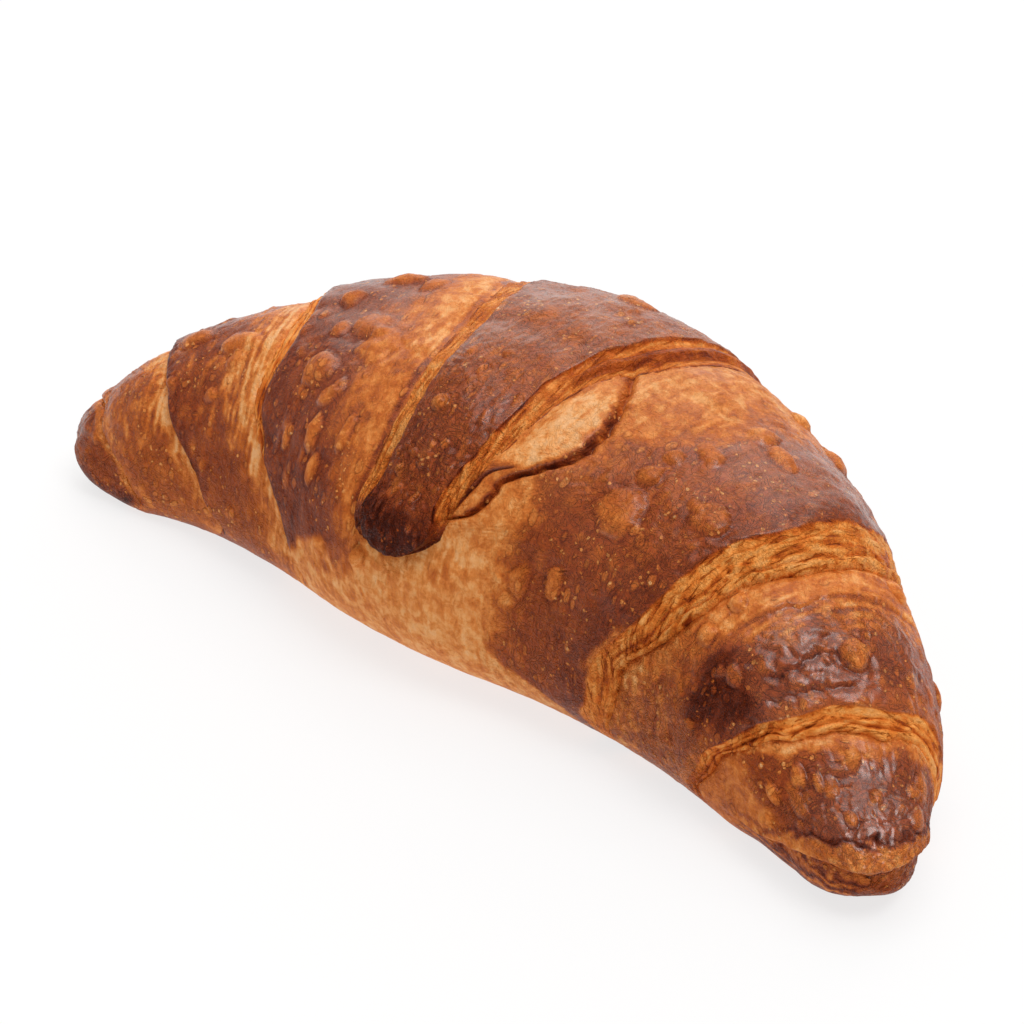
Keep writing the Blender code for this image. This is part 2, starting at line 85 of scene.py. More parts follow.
# Edges of the rolled layers, as places along the centre line at these angles round the roll.
EDGE_ANGLES = (-20, 0, 20, 40, 60, 90, 120, 150, 200)
EDGE_PLACES = {
    "left_second": (-0.385, -0.462, -0.53, -0.57, -0.55, -0.562, -0.58, -0.595, -0.615),
    "left_third": (-0.68, -0.745, -0.79, -0.828, -0.853, -0.872, -0.88, -0.885, -0.89),
    "left_tip": (-0.91, -0.945, -0.99, -1.008, -1.012, -1.015, -1.015, -1.01, -1.0),
    "right_second": (0.43, 0.464, 0.54, 0.575, 0.60, 0.625, 0.615, 0.582, 0.57),
    "right_third": (0.72, 0.775, 0.845, 0.882, 0.902, 0.91, 0.912, 0.915, 0.92),
}
# Of each edge: drop to the next layer, groove at its foot and width of the cut edge.
EDGE_FORMS = {
    "left_second": (1.59, 0.37, 4.6),
    "left_third": (1.31, 0.28, 1.4),
    "left_tip": (0.84, 0.19, 1.03),
    "right_second": (2.05, 0.56, 7.2),
    "right_third": (1.68, 0.56, 3.2),
}
# A cut edge narrows to this share at the table, and is full from the second angle on.
CUT_NARROW = 0.8
CUT_WIDENS = (0.0, 60.0)
# Its foot lies this much deeper than the next layer, and this much more where it is seen.
CUT_FOOT_SINKS = 0.05
CUT_FOOT_SINKS_SEEN = 0.25
# The drop is smaller on the outer side of the crescent, beyond these angles.
DROP_AT_BACK = 0.6
DROP_EASES = (100.0, 150.0)
# How far the swell before an edge and the groove after it reach, and how the edge is rounded.
SWELL_REACH = 10.3
GROOVE_REACH = 7.5
EDGE_ROUND = 0.28
EDGE_ROUND_REACH = 0.84
EDGE_WANDER = 0.47

# The relief fades out under the roll, where the tray pressed it flat.
RELIEF_FULL = (6.0, 190.0)
RELIEF_GONE = (-34.0, 226.0)

# The torn crust beside the flap, where pale dough swells out.
TEAR_ANGLES = (18, 23, 28, 35, 43, 48, 54, 63, 74, 81, 86, 92, 97)
TEAR_PLACES = (0.02, 0.051, 0.113, 0.14, 0.16, 0.205, 0.243, 0.258, 0.248, 0.228, 0.207, 0.165, 0.12)
TEAR_FROM, TEAR_TO = 18.0, 96.0
TEAR_DARK_TO = 85.0
TEAR_STRAY = 0.55
TEAR_FADE = 10.0
TEAR_DEPTH = 1.4
TEAR_HALF_WIDTH = 0.84
TEAR_SHOULDER = 2.4
TEAR_CRUST_LIFT = 0.75
TEAR_CRUST_REACH = 5.0
PALE_SWELL = 0.75
PALE_WIDTH = 11.2

# The flap on top, from its point on the inner side over the crest to the outer side.
FLAP_POINT = 7.5
FLAP_END = 238.0
FLAP_ANGLES = (9, 16, 30, 46, 65, 75, 83, 98, 115, 150, 180, 238)
FLAP_LEFT = (-0.15, -0.152, -0.143, -0.141, -0.15, -0.153, -0.157, -0.176, -0.204, -0.23, -0.245, -0.27)
FLAP_RIGHT = (0.0, 0.032, 0.027, 0.052, 0.066, 0.066, 0.078, 0.112, 0.128, 0.155, 0.19, 0.26)
FLAP_CUT_RIGHT = (1.1, 1.4, 3.3, 4.0, 4.2, 5.0, 6.2, 7.0, 7.2, 6.2, 5.0, 4.0)
FLAP_CUT_LEFT = 4.6
FLAP_SQUARE = 0.62
FLAP_THICKNESS = 2.6
FLAP_POINT_THICKNESS = 4.1
FLAP_POINT_REACH = 12.0
FLAP_ROUNDING = 10.0
FLAP_SINKS_FROM = 196.0
FLAP_SINKS_BELOW = 1.2
FLAP_DEPTH = 2.8
FLAP_TUCK = 0.75
FLAP_SHOULDER = 0.8
FLAP_BED = 1.5
FLAP_BED_REACH = 10.3
FLAP_BED_FADE = 8.0

# The ledge round the right tip, where the roll's inner end shows under the last layer.
LEDGE_FROM = 0.80
LEDGE_FADE = 0.12
LEDGE_ALONG = (0.8, 0.95, 1.06, 1.12, 1.145)
LEDGE_HEIGHTS = (5.6, 6.6, 9.3, 10.6, 10.4)
LEDGE_DEPTH = 1.3
LEDGE_SOFT = 0.55
# The dark crust of that tip ends at these heights, and a golden band lies between it and the ledge.
BAND_HEIGHTS = (7.3, 8.0, 12.4, 14.2, 13.4)

# Slow unevenness of the whole surface.
LUMP = 0.51

# How far down the flap's sides have come at shares of their width: the slope on the right, the rolled
# lip that it turns into between two angles, and the strip of baked leaves on the left.
SLOPE_SHARES = (0.0, 0.08, 0.30, 0.54, 0.58, 0.62, 0.80, 0.84, 0.88, 1.0)
SLOPE_FALLEN = (0.0, 0.14, 0.50, 0.72, 0.78, 0.78, 0.88, 0.95, 0.93, 1.0)
LIP_SHARES = (0.0, 0.07, 0.16, 0.30, 0.37, 0.46, 0.56, 0.64, 0.70, 0.86, 1.0)
LIP_FALLEN = (0.0, 0.36, 0.52, 0.50, 0.26, 0.20, 0.28, 0.62, 0.86, 0.88, 1.0)
LIP_FROM = (72.0, 86.0)
STRIP_SHARES = (0.0, 0.05, 0.12, 0.30, 0.55, 0.62, 0.68, 0.84, 0.90, 1.0)
STRIP_FALLEN = (0.0, 0.22, 0.34, 0.38, 0.50, 0.64, 0.62, 0.72, 0.98, 1.0)

# Of each leaf in a cut edge: where it starts across the cut, its part of the drop, how far its tread
# bulges, the share of its width that is its riser, and how dark the painted shade is in the crease at
# its start.
EDGE_LEAVES = {
    "left_second": (
        (0.0, 0.42, 0.06, 0.6, 0.5),
        (0.34, 0.28, 0.10, 0.3, 0.5),
        (0.70, 0.30, 0.03, 0.4, 1.0),
    ),
    "left_third": ((0.0, 0.55, 0.05, 0.5, 0.5), (0.52, 0.45, 0.04, 0.5, 0.8)),
    "left_tip": ((0.0, 0.6, 0.05, 0.5, 0.4), (0.5, 0.4, 0.04, 0.5, 0.6)),
    "right_second": (
        (0.0, 0.26, 0.03, 0.75, 0.4),
        (0.31, 0.18, 0.04, 0.6, 0.35),
        (0.60, 0.16, 0.19, 0.3, 0.55),
        (0.85, 0.40, 0.0, 0.45, 1.0),
    ),
    "right_third": (
        (0.0, 0.38, 0.03, 0.7, 0.5),
        (0.46, 0.24, 0.10, 0.3, 0.5),
        (0.78, 0.38, 0.0, 0.5, 1.0),
    ),
}
LEAF_GROOVE = 0.10
LEAF_STRAY = 0.21
UNDER_REACH = 4.0

# The pale leaf of the second layer on the right ends in a low step, and two cracks lie beyond it.
STEP_ANGLES = (38, 60, 68, 82, 90, 99, 112, 138, 160)
STEP_PLACES = (0.715, 0.733, 0.740, 0.750, 0.750, 0.747, 0.752, 0.755, 0.75)
STEP_DROP = 0.4
STEP_FADES = (24.0, 20.0)
STEP_REACH = 5.0
CRACKS = (
    ((46, 52, 60, 71, 86, 98), (0.855, 0.866, 0.871, 0.879, 0.886, 0.889), 0.40),
    ((48, 56, 68, 76, 86, 94), (0.822, 0.834, 0.842, 0.839, 0.839, 0.846), 0.30),
)
CRACK_HALF_WIDTH = 0.42
CRACK_FADES = (8.0, 8.0)

# The second, smaller lens of pale dough is parted from the flap by a crease that branches off the tear.
BRANCH_ANGLES = (22, 27, 36, 43, 47)
BRANCH_PLACES = (0.035, 0.058, 0.086, 0.112, 0.165)
BRANCH_FADES_FROM = 44
BRANCH_DEPTH = 0.8
BRANCH_HALF_WIDTH = 0.5

# Where the dark crust of the middle ends and its pale foot begins, on the inner side.
FOOT_ALONG = (-0.6, -0.5, -0.39, -0.27, -0.18, -0.14, 0.0, 0.05, 0.12, 0.17, 0.22)
FOOT_ANGLES = (-4, -5, -5, 0, 3, 10, 16, 22, 26, 27, 25)
FOOT_RIGHT_ANGLES = (-30, -19, -14, -8, -3, 0, 7, 16, 24, 28)
FOOT_RIGHT_PLACES = (0.40, 0.32, 0.235, 0.187, 0.172, 0.177, 0.19, 0.205, 0.207, 0.215)

# Where the layer left of the flap turns from golden to dark, and how far the dough right of the
# flap stays pale, and golden.
LEFT_DARK_ANGLES = (-5, 0, 17, 33, 49, 76, 86, 99, 130, 200)
LEFT_DARK_PLACES = (-0.23, -0.24, -0.272, -0.30, -0.335, -0.375, -0.37, -0.345, -0.37, -0.42)
PALE_ANGLES = (60, 70, 82, 89, 94, 100, 112, 120, 160, 200)
PALE_ENDS = (0.235, 0.242, 0.257, 0.262, 0.295, 0.325, 0.334, 0.346, 0.36, 0.37)
GOLD_ANGLES = (20, 35, 49, 58, 72, 86, 100, 130, 200)
GOLD_ENDS = (0.20, 0.235, 0.27, 0.311, 0.334, 0.373, 0.393, 0.42, 0.44)

# Blisters: along, angle, half length round the roll, half width along it, height, how pale. Beyond the
# reach, in their own half sizes, they change nothing.
BLISTER_REACH = 1.6
BLISTERS = (
    (0.402, 52, 4.2, 4.0, 0.95, 0.20),
    (0.392, 67, 2.1, 1.9, 0.80, 0.16),
    (0.392, 78, 1.5, 1.6, 0.60, 0.14),
    (0.424, 86, 1.7, 2.6, 0.60, 0.22),
    (0.477, 106, 2.1, 3.2, 0.95, 0.34),
    (0.419, 106, 2.4, 2.2, 0.95, 0.28),
    (0.422, 146, 2.4, 2.2, 1.00, 0.25),
    (0.507, 70, 1.0, 1.6, 0.50, 0.22),
    (0.546, 71, 2.4, 3.1, 0.85, 0.16),
    (0.691, 40, 1.7, 1.8, 0.95, 0.34),
    (0.845, 97, 2.2, 2.3, 1.10, 0.32),
    (0.785, 40, 1.5, 1.6, 0.45, 0.16),
    (0.265, 14, 3.0, 1.7, 0.75, 0.22),
    (0.347, 19, 3.0, 1.7, 0.85, 0.26),
    (0.691, 60, 1.6, 1.8, 0.95, 0.34),
    (0.957, 21, 1.2, 1.6, 0.70, 0.28),
    (0.963, 3, 0.9, 0.9, 0.45, 0.22),
    (0.975, 46, 1.2, 1.4, 0.70, 0.30),
    (0.993, 59, 0.9, 1.1, 0.55, 0.28),
    (1.010, 67, 1.2, 1.5, 0.60, 0.22),
    (1.037, 99, 1.0, 1.3, 0.50, 0.24),
    (1.010, 134, 1.1, 1.1, 0.55, 0.28),
    (1.075, 75, 1.1, 1.4, 0.50, 0.24),
    (0.747, 8, 1.0, 1.2, 0.45, 0.22),
    (0.668, -4, 2.0, 2.3, 0.60, 0.12),
    (0.977, 88, 1.0, 1.2, 0.50, 0.36),
    (0.997, 145, 1.7, 1.9, 0.70, 0.22),
    (0.950, 0, 0.8, 1.1, 0.45, 0.20),
    (1.052, 144, 1.5, 1.9, 0.55, 0.20),
    (1.002, 36, 1.5, 2.9, 0.35, 0.16),
    (-0.449, 59, 3.4, 3.5, 1.10, 0.24),
    (-0.377, 53, 1.6, 1.6, 0.60, 0.20),
    (-0.395, 48, 1.9, 1.8, 0.75, 0.26),
    (-0.303, 37, 3.4, 1.4, 0.75, 0.30),
    (-0.396, 35, 3.2, 1.6, 0.70, 0.30),
    (-0.363, 22, 2.8, 1.3, 0.60, 0.28),
    (-0.318, 0, 2.1, 1.7, 0.70, 0.30),
    (-0.470, 30, 2.2, 1.0, 0.45, 0.24),
    (-0.174, 2, 1.8, 1.5, 1.60, 0.38),
    (-0.399, 80, 3.4, 4.1, 0.90, 0.20),
    (-0.347, 72, 4.6, 3.4, 0.55, 0.20),
    (-0.489, 94, 2.5, 2.1, 0.80, 0.24),
    (-0.427, 108, 2.6, 3.3, 1.00, 0.26),
    (-0.355, 103, 2.6, 1.9, 0.70, 0.22),
    (-0.464, 78, 2.0, 1.9, 0.60, 0.20),
    (-0.703, 76, 2.6, 4.0, 0.85, 0.30),
    (-0.733, 45, 1.5, 1.3, 0.55, 0.22),
    (-0.815, 90, 2.4, 2.8, 0.85, 0.22),
    (-0.693, 64, 2.0, 1.8, 0.55, 0.24),
    (-0.838, 57, 1.0, 1.0, 0.45, 0.20),
    (-0.088, 56, 1.7, 1.7, 0.90, 0.38),
    (-0.020, 45, 0.9, 1.0, 0.45, 0.20),
    (-0.060, 70, 1.3, 0.9, 0.40, 0.16),
    (-0.045, 78, 1.0, 1.3, 0.40, 0.14),
    (-0.100, 33, 1.0, 0.9, 0.40, 0.14),
    (-0.021, 124, 2.8, 3.2, 0.80, 0.30),
    (0.449, 0, 1.4, 0.8, 0.40, 0.16),
    (0.213, 12, 0.9, 1.1, 0.45, 0.18),
    (0.330, 142, 2.1, 1.8, 0.95, 0.24),
    (0.710, 140, 1.9, 1.9, 0.85, 0.22),
    (-0.620, 140, 2.1, 1.8, 0.85, 0.22),
    (-0.350, 150, 2.6, 2.1, 0.95, 0.22),
    (-0.520, 165, 2.0, 2.6, 0.80, 0.24),
    (0.480, 170, 2.4, 1.8, 0.80, 0.22),
    (0.150, 158, 1.6, 2.0, 0.70, 0.20),
    (-0.120, 172, 2.2, 1.9, 0.75, 0.22),
    (-0.780, 150, 1.8, 1.6, 0.65, 0.22),
    (0.820, 168, 1.7, 1.7, 0.65, 0.22),
)

# Fineness of the shells.
TEAR_STEPS = (-2.4, -1.8, -1.3, -0.9, -0.55, -0.25, 0.0, 0.25, 0.55, 0.9, 1.3, 1.8, 2.4)
ANGLES_SEEN = (-44.0, 208.0)
POINTS_SEEN = 236
POINTS_UNDER = 32
FLAP_ROWS = 400
FLAP_POINT_ROWS = 36
FLAP_CUT_CELLS = 36
FLAP_STRIP_CELLS = 16
FLAP_CROWN_CELLS = 90
FLAP_BASE_CELLS = 6
MIDDLE_CELLS = (165, 80)
# Rings across a riser and across the tread after it, as shares of its width.
RISER_STOPS = (0.0, 0.2, 0.45, 0.75, 1.0)
TREAD_STOPS = (0.12, 0.26, 0.4, 0.55, 0.7, 0.85, 0.95)
# Rings hidden under the layer above, and tucked in under a cut edge: share of the way, and depth.
HIDDEN_RINGS = ((1.0, 2.6), (0.62, 1.5), (0.3, 0.7), (0.1, 0.3))
TUCKED_RINGS = ((0.12, 0.5), (0.5, 1.6), (1.0, 2.8))
# How far a sunk ring keeps above the table for each millimetre it is sunk, and how far the flap does.
SUNK_CLEARANCE = 0.4
FLAP_CLEARANCE = 0.3
# Shares of a cut edge between which its leaves show.
LEAVES_SHOW = (0.02, 0.98)

# Angles round the roll are counted from here, so that they wrap at the underside.
WRAP = -70.0
# Millimetres for a degree round the roll: where lines wander, and in the crust's patterns.
WANDER_SCALE = 0.62
ROLL_SCALE = 0.45

# Factors and shifts that scramble whole-number places into fixed random numbers.
SCRAMBLE_AXES = (0x9E3779B1, 0x85EBCA77, 0xC2B2AE3D)
SCRAMBLE_SEED = 0x27D4EB2F
SCRAMBLE_ROUNDS = ((15, 0x2C1B3C6D), (12, 0x297A2D39))
SCRAMBLE_LAST = 15
ALL_BITS = 0xFFFFFFFF
# What brings the noise to about -1 to 1, and how far the middles of domes keep from their cells' walls.
GRAIN_GAIN = 1.4
DOME_MARGIN = 0.2
DOME_SEEDS_APART = 31


def smooth_through(stations, values, at):
    """A smooth curve through a few stations, held level beyond the first and the last."""
    x = np.asarray(stations, float)
    y = np.asarray(values, float)
    at = np.clip(at, x[0], x[-1])
    slope = np.gradient(y, x)
    index = np.clip(np.searchsorted(x, at, side="right") - 1, 0, len(x) - 2)
    step = x[index + 1] - x[index]
    t = (at - x[index]) / step
    return (
        y[index] * (1 + 2 * t) * (1 - t) ** 2
        + y[index + 1] * t**2 * (3 - 2 * t)
        + step * (slope[index] * t * (1 - t) ** 2 - slope[index + 1] * t**2 * (1 - t))
    )


def ease(low, high, at):
    """0 below low, 1 above high, and a soft step between. low may be the larger."""
    t = np.clip((at - low) / (high - low), 0.0, 1.0)
    return t * t * (3 - 2 * t)


def within(start, full, falling, end, at):
    """A soft step up from start to full, and one down again from falling to end."""
    return ease(start, full, at) * ease(end, falling, at)


def on_line(angles, fades, turned):
    """1 between the first and the last angle of a line on the crust, fading out before both."""
    first, last = angles[0], angles[-1]
    return within(first, first + fades[0], last - fades[1], last, turned)


def ridge(at, middle, reach):
    """1 at the middle, falling off softly on both sides."""
    return np.exp(-(((at - middle) / reach) ** 2))


def blend(first, second, share):
    """The first where share is 0 and the second where it is 1."""
    return first * (1 - share) + second * share


def right_of(along, place):
    """Millimetres from a place along the roll to another one, counted to the right."""
    return (along - place) * HALF_RUN


def centre_line():
    """Places along, with the points and headings there, turned so that the tips lie on one line."""
    along = np.linspace(-CENTRE_REACH, CENTRE_REACH, CENTRE_POINTS)
    heading = -(BEND_MIDDLE * along + BEND_SKEW * along**2 / 2 + BEND_TIPS * along**3 / 3)
    step = HALF_RUN * (along[1] - along[0])
    x = np.cumsum(np.cos(heading)) * step
    y = np.cumsum(np.sin(heading)) * step
    left = int(np.searchsorted(along, -1.0))
    right = int(np.searchsorted(along, 1.0))
    turn = -math.atan2(y[right] - y[left], x[right] - x[left])
    x = x - (x[left] + x[right]) / 2
    y = y - (y[left] + y[right]) / 2
    turned_x = x * math.cos(turn) - y * math.sin(turn)
    turned_y = x * math.sin(turn) + y * math.cos(turn)
    return along, turned_x, turned_y, heading + turn


CENTRE = centre_line()


def plain_point(along, angle):
    """A point of the plain loaf, before the layers are put on."""
    table, line_x, line_y, headings = CENTRE
    x = np.interp(along, table, line_x)
    y = np.interp(along, table, line_y)
    heading = np.interp(along, table, headings)
    end = np.where(along < 0, TIP_LEFT, TIP_RIGHT)
    past = np.clip((np.abs(along) - TIP_ROUND_FROM) / (np.abs(end) - TIP_ROUND_FROM), 0, 1)
    shrink = np.sqrt(np.clip(1 - past**2, 0, 1))
    width = smooth_through(STATIONS, HALF_WIDTHS, along) * shrink
    height = smooth_through(STATIONS, HEIGHTS, along)
    turn = np.radians(angle)
    cosine, sine = -np.cos(turn), np.sin(turn)
    above = sine > 0
    power = np.where(above, 2 / TOP_SQUARENESS, 2 / FOOT_SQUARENESS)
    across = np.sign(cosine) * np.abs(cosine) ** power * width
    level = np.where(above, (1 - WAIST), WAIST) * np.sign(sine) * np.abs(sine) ** power + WAIST
    z = height * (TIP_CENTRE + (level - TIP_CENTRE) * shrink)
    z = z - PRESSED * ease(0.5, 0.0, level)
    return np.stack([x - np.sin(heading) * across, y + np.cos(heading) * across, z], -1)


def outward(along, angle):
    """Unit normal of the plain loaf, pointing out."""
    small_along, small_angle = 0.004, 0.8
    inner = 0.9985
    held = np.clip(along, TIP_LEFT * inner + small_along, TIP_RIGHT * inner - small_along)
    d_along = plain_point(held + small_along, angle) - plain_point(held - small_along, angle)
    d_angle = plain_point(held, angle + small_angle) - plain_point(held, angle - small_angle)
    normal = np.cross(d_along, d_angle)
    return normal / np.maximum(np.linalg.norm(normal, axis=-1, keepdims=True), 1e-9)


def round_angle(angle):
    """The same angle, brought into the turn that starts at the underside."""
    return (np.asarray(angle, float) - WRAP) % 360.0 + WRAP


def edge_place(name, angle):
    """Place along of a layer's edge at an angle round the roll, with a small natural wander."""
    turned = round_angle(angle)
    low, high = EDGE_ANGLES[0], EDGE_ANGLES[-1]
    place = smooth_through(EDGE_ANGLES, EDGE_PLACES[name], turned)
    back = ease(high, WRAP + 360.0, turned) * 0.5 + ease(low, WRAP, turned) * 0.5
    first, last = EDGE_PLACES[name][0], EDGE_PLACES[name][-1]
    place = np.where(turned > high, last + (first - last) * back, place)
    place = np.where(turned < low, first + (last - first) * back, place)
    phase = 1.7 * (1 + sorted(EDGE_PLACES).index(name))
    radians = np.radians(angle)
    wave = np.sin(3 * radians + phase) + 0.6 * np.sin(7 * radians + 2.3 * phase)
    return place + EDGE_WANDER * wave / HALF_RUN


def relief_share(angle):
    """1 round the visible part of the roll and 0 under it."""
    turned = round_angle(angle)
    return within(RELIEF_GONE[0], RELIEF_FULL[0], RELIEF_FULL[1], RELIEF_GONE[1], turned)


def cut_width(name, angle):
    """Width of a layer's cut edge: it narrows a little towards the table."""
    widened = ease(*CUT_WIDENS, round_angle(angle))
    return EDGE_FORMS[name][2] * (CUT_NARROW + (1 - CUT_NARROW) * widened)


def flap_bed(along, angle):
    """The layer under the flap lies lower, and rises again beyond the flap's edges."""
    left, right = flap_edges(angle)
    reach = FLAP_BED_REACH / HALF_RUN
    share = within(left - reach, left, right, right + reach, along)
    near = ease(FLAP_POINT - FLAP_BED_FADE, FLAP_POINT + FLAP_BED_FADE, round_angle(angle))
    return -FLAP_BED * share * near


def flap_edges(angle):
    """Places along of the flap's left and right edges, where its dark top ends."""
    left = smooth_through(FLAP_ANGLES, FLAP_LEFT, angle)
    right = smooth_through(FLAP_ANGLES, FLAP_RIGHT, angle)
    return left, right


def tear_place(angle):
    """Place along of the tear at an angle round the roll, ragged as torn dough is."""
    turned = round_angle(angle)
    stray = TEAR_STRAY * (wander(turned, 4.2, 35) + 0.7 * wander(turned, 1.7, 36))
    return smooth_through(TEAR_ANGLES, TEAR_PLACES, turned) + stray / HALF_RUN


def tear_relief(along, angle):
    """The tear beside the flap: pale dough swelling on its left, and crust standing up on its right."""
    turned = round_angle(angle)
    share = on_line((TEAR_FROM, TEAR_TO), (TEAR_FADE, TEAR_FADE), turned)
    out = right_of(along, tear_place(turned))
    groove = -TEAR_DEPTH * ridge(out, 0, TEAR_HALF_WIDTH)
    crust = TEAR_CRUST_LIFT * np.exp(-np.maximum(out, 0) / TEAR_CRUST_REACH) * (out > 0)
    inside = np.clip(-out / PALE_WIDTH, 0, 1)
    swell = PALE_SWELL * np.sin(math.pi * inside) - TEAR_CRUST_LIFT * inside
    return share * (groove + crust + np.where(out < 0, swell, 0))


def ledge_relief(along, angle):
    """At the right tip the last layer ends above the table, and the roll's inner end is recessed."""
    level = plain_point(along, angle)[..., 2]
    line = smooth_through(LEDGE_ALONG, LEDGE_HEIGHTS, along)
    near_tip = ease(LEDGE_FROM, LEDGE_FROM + LEDGE_FADE, along)
    return -LEDGE_DEPTH * near_tip * ease(-LEDGE_SOFT, LEDGE_SOFT, line - level)


def lumps(point):
    """Slow unevenness, from the place of the point."""
    x, y, z = point[..., 0], point[..., 1], point[..., 2]
    one = np.sin(x / 9.0 + 1.3 * np.sin(y / 12.0)) * np.cos(z / 8.0 + 0.7)
    two = np.sin(x / 5.5 + y / 7.5 + 2.0) * np.sin(z / 6.5 - x / 13.0)
    return LUMP * (0.7 * one + 0.4 * two)


# Seeded unevenness.


def scrambled(cell, seed):
    """A fixed random whole number for each whole-number place."""
    mixed = np.uint32((seed * SCRAMBLE_SEED) & ALL_BITS)
    for axis, factor in enumerate(SCRAMBLE_AXES):
        mixed = mixed ^ cell[..., axis].astype(np.uint32) * np.uint32(factor)
    for shift, factor in SCRAMBLE_ROUNDS:
        mixed = (mixed ^ (mixed >> np.uint32(shift))) * np.uint32(factor)
    return mixed ^ (mixed >> np.uint32(SCRAMBLE_LAST))


def grain(point, size, seed):
    """Smooth noise from about -1 to 1, with lumps of this size in millimetres."""
    scaled = point / np.asarray(size, float)
    base = np.floor(scaled).astype(np.int64)
    part = scaled - base
    soft = part**3 * (part * (part * 6 - 15) + 10)
    total = np.zeros(point.shape[:-1])
    for corner in np.ndindex(2, 2, 2):
        offset = np.array(corner)
        mixed = scrambled(base + offset, seed)
        away = part - offset
        x, y, z = away[..., 0], away[..., 1], away[..., 2]
        first = np.where(mixed & 8, y, x)
        second = np.where(mixed & 4, z, np.where(mixed & 8, x, y))
        slope = np.where(mixed & 1, -first, first) + np.where(mixed & 2, -second, second)
        weight = np.prod(np.where(offset, soft, 1 - soft), axis=-1)
        total += weight * slope
    return total * GRAIN_GAIN


def domes(point, size, seed, chance, smallest, largest):
    """Seeded round bumps: 1 at the middle of a bump and 0 outside it. Radii are shares of size."""
    scaled = point / np.asarray(size, float)
    base = np.floor(scaled).astype(np.int64)
    best = np.zeros(point.shape[:-1])
    for corner in np.ndindex(3, 3, 3):
        cell = base + np.array(corner) - 1
        spots = [scrambled(cell, seed + DOME_SEEDS_APART * i) / (ALL_BITS + 1.0) for i in range(4)]
        centre = cell + DOME_MARGIN + (1 - 2 * DOME_MARGIN) * np.stack(spots[:3], -1)
        keen = spots[3] / chance
        radius = largest - (largest - smallest) * np.clip(keen, 0, 1)
        away = np.linalg.norm(scaled - centre, axis=-1)
        best = np.maximum(best, np.where(keen < 1, 1 - (away / radius) ** 2, 0))
    return np.clip(best, 0, 1)


# The layers of the roll.


def out_from(name, along, angle):
    """How far beyond a layer's edge a place is, in millimetres along the roll."""
    out = right_of(along, edge_place(name, angle))
    return -out if name.startswith("left") else out


def level(along, angle, under):
    """Height over the plain loaf of a layer that lies under the named edges and ends in the others."""
    total = lumps(plain_point(along, angle))
    for name in EDGE_PLACES:
        drop, groove, _ = EDGE_FORMS[name]
        out = out_from(name, along, angle)
        if name in under:
            beyond = np.maximum(out - cut_width(name, angle), 0)
            height = -(drop / 2 + groove) * np.exp(-beyond / GROOVE_REACH)
        else:
            before = np.maximum(-out, 0)
            height = drop / 2 * np.exp(-before / SWELL_REACH)
            height = height - EDGE_ROUND * np.exp(-before / EDGE_ROUND_REACH)
        total = total + height * (1 - (1 - DROP_AT_BACK) * ease(*DROP_EASES, round_angle(angle)))
    if not under:
        total = total + tear_relief(along, angle) + branch_relief(along, angle)
        total = total + flap_bed(along, angle)
    if under == ("right_second",):
        total = total - band_hollows(along, angle)[0]
    return total * relief_share(angle) + ledge_relief(along, angle)


def branch_place(angle):
    return smooth_through(BRANCH_ANGLES, BRANCH_PLACES, round_angle(angle))


def branch_share(angle):
    return within(*BRANCH_ANGLES[:2], BRANCH_FADES_FROM, BRANCH_ANGLES[-1] + 1, round_angle(angle))


def branch_relief(along, angle):
    """The crease between the flap and the smaller lens."""
    out = right_of(along, branch_place(angle))
    return -BRANCH_DEPTH * ridge(out, 0, BRANCH_HALF_WIDTH) * branch_share(angle)


def band_hollows(along, angle):
    """Depth of the step and the cracks on the second layer on the right, and how creased, for painted
    shade.
    """
    turned = round_angle(angle)
    stray = 0.5 * wander(turned, 5.0, 71) + 0.3 * wander(turned, 1.8, 72)
    out = right_of(along, smooth_through(STEP_ANGLES, STEP_PLACES, turned)) + stray
    share = on_line(STEP_ANGLES, STEP_FADES, turned)
    depth = share * STEP_DROP * ease(-0.35, 0.35, out) * np.exp(-np.maximum(out, 0) / STEP_REACH)
    creased = share * ridge(out, 0.3, 0.4)
    for number, (angles, places, deep) in enumerate(CRACKS):
        stray = 0.45 * wander(turned, 3.0, 73 + number) + 0.25 * wander(turned, 1.2, 83 + number)
        out = right_of(along, smooth_through(angles, places, turned)) + stray
        line = on_line(angles, CRACK_FADES, turned) * ridge(out, 0, CRACK_HALF_WIDTH)
        depth, creased = depth + deep * line, np.maximum(creased, line)
    return depth, creased


def wander(angle, size, seed):
    """Smooth noise round the roll, with waves of this size in millimetres."""
    at = WANDER_SCALE * np.asarray(angle, float)
    return grain(np.stack([at, 0 * at, 0 * at + 0.37], -1), size, seed)


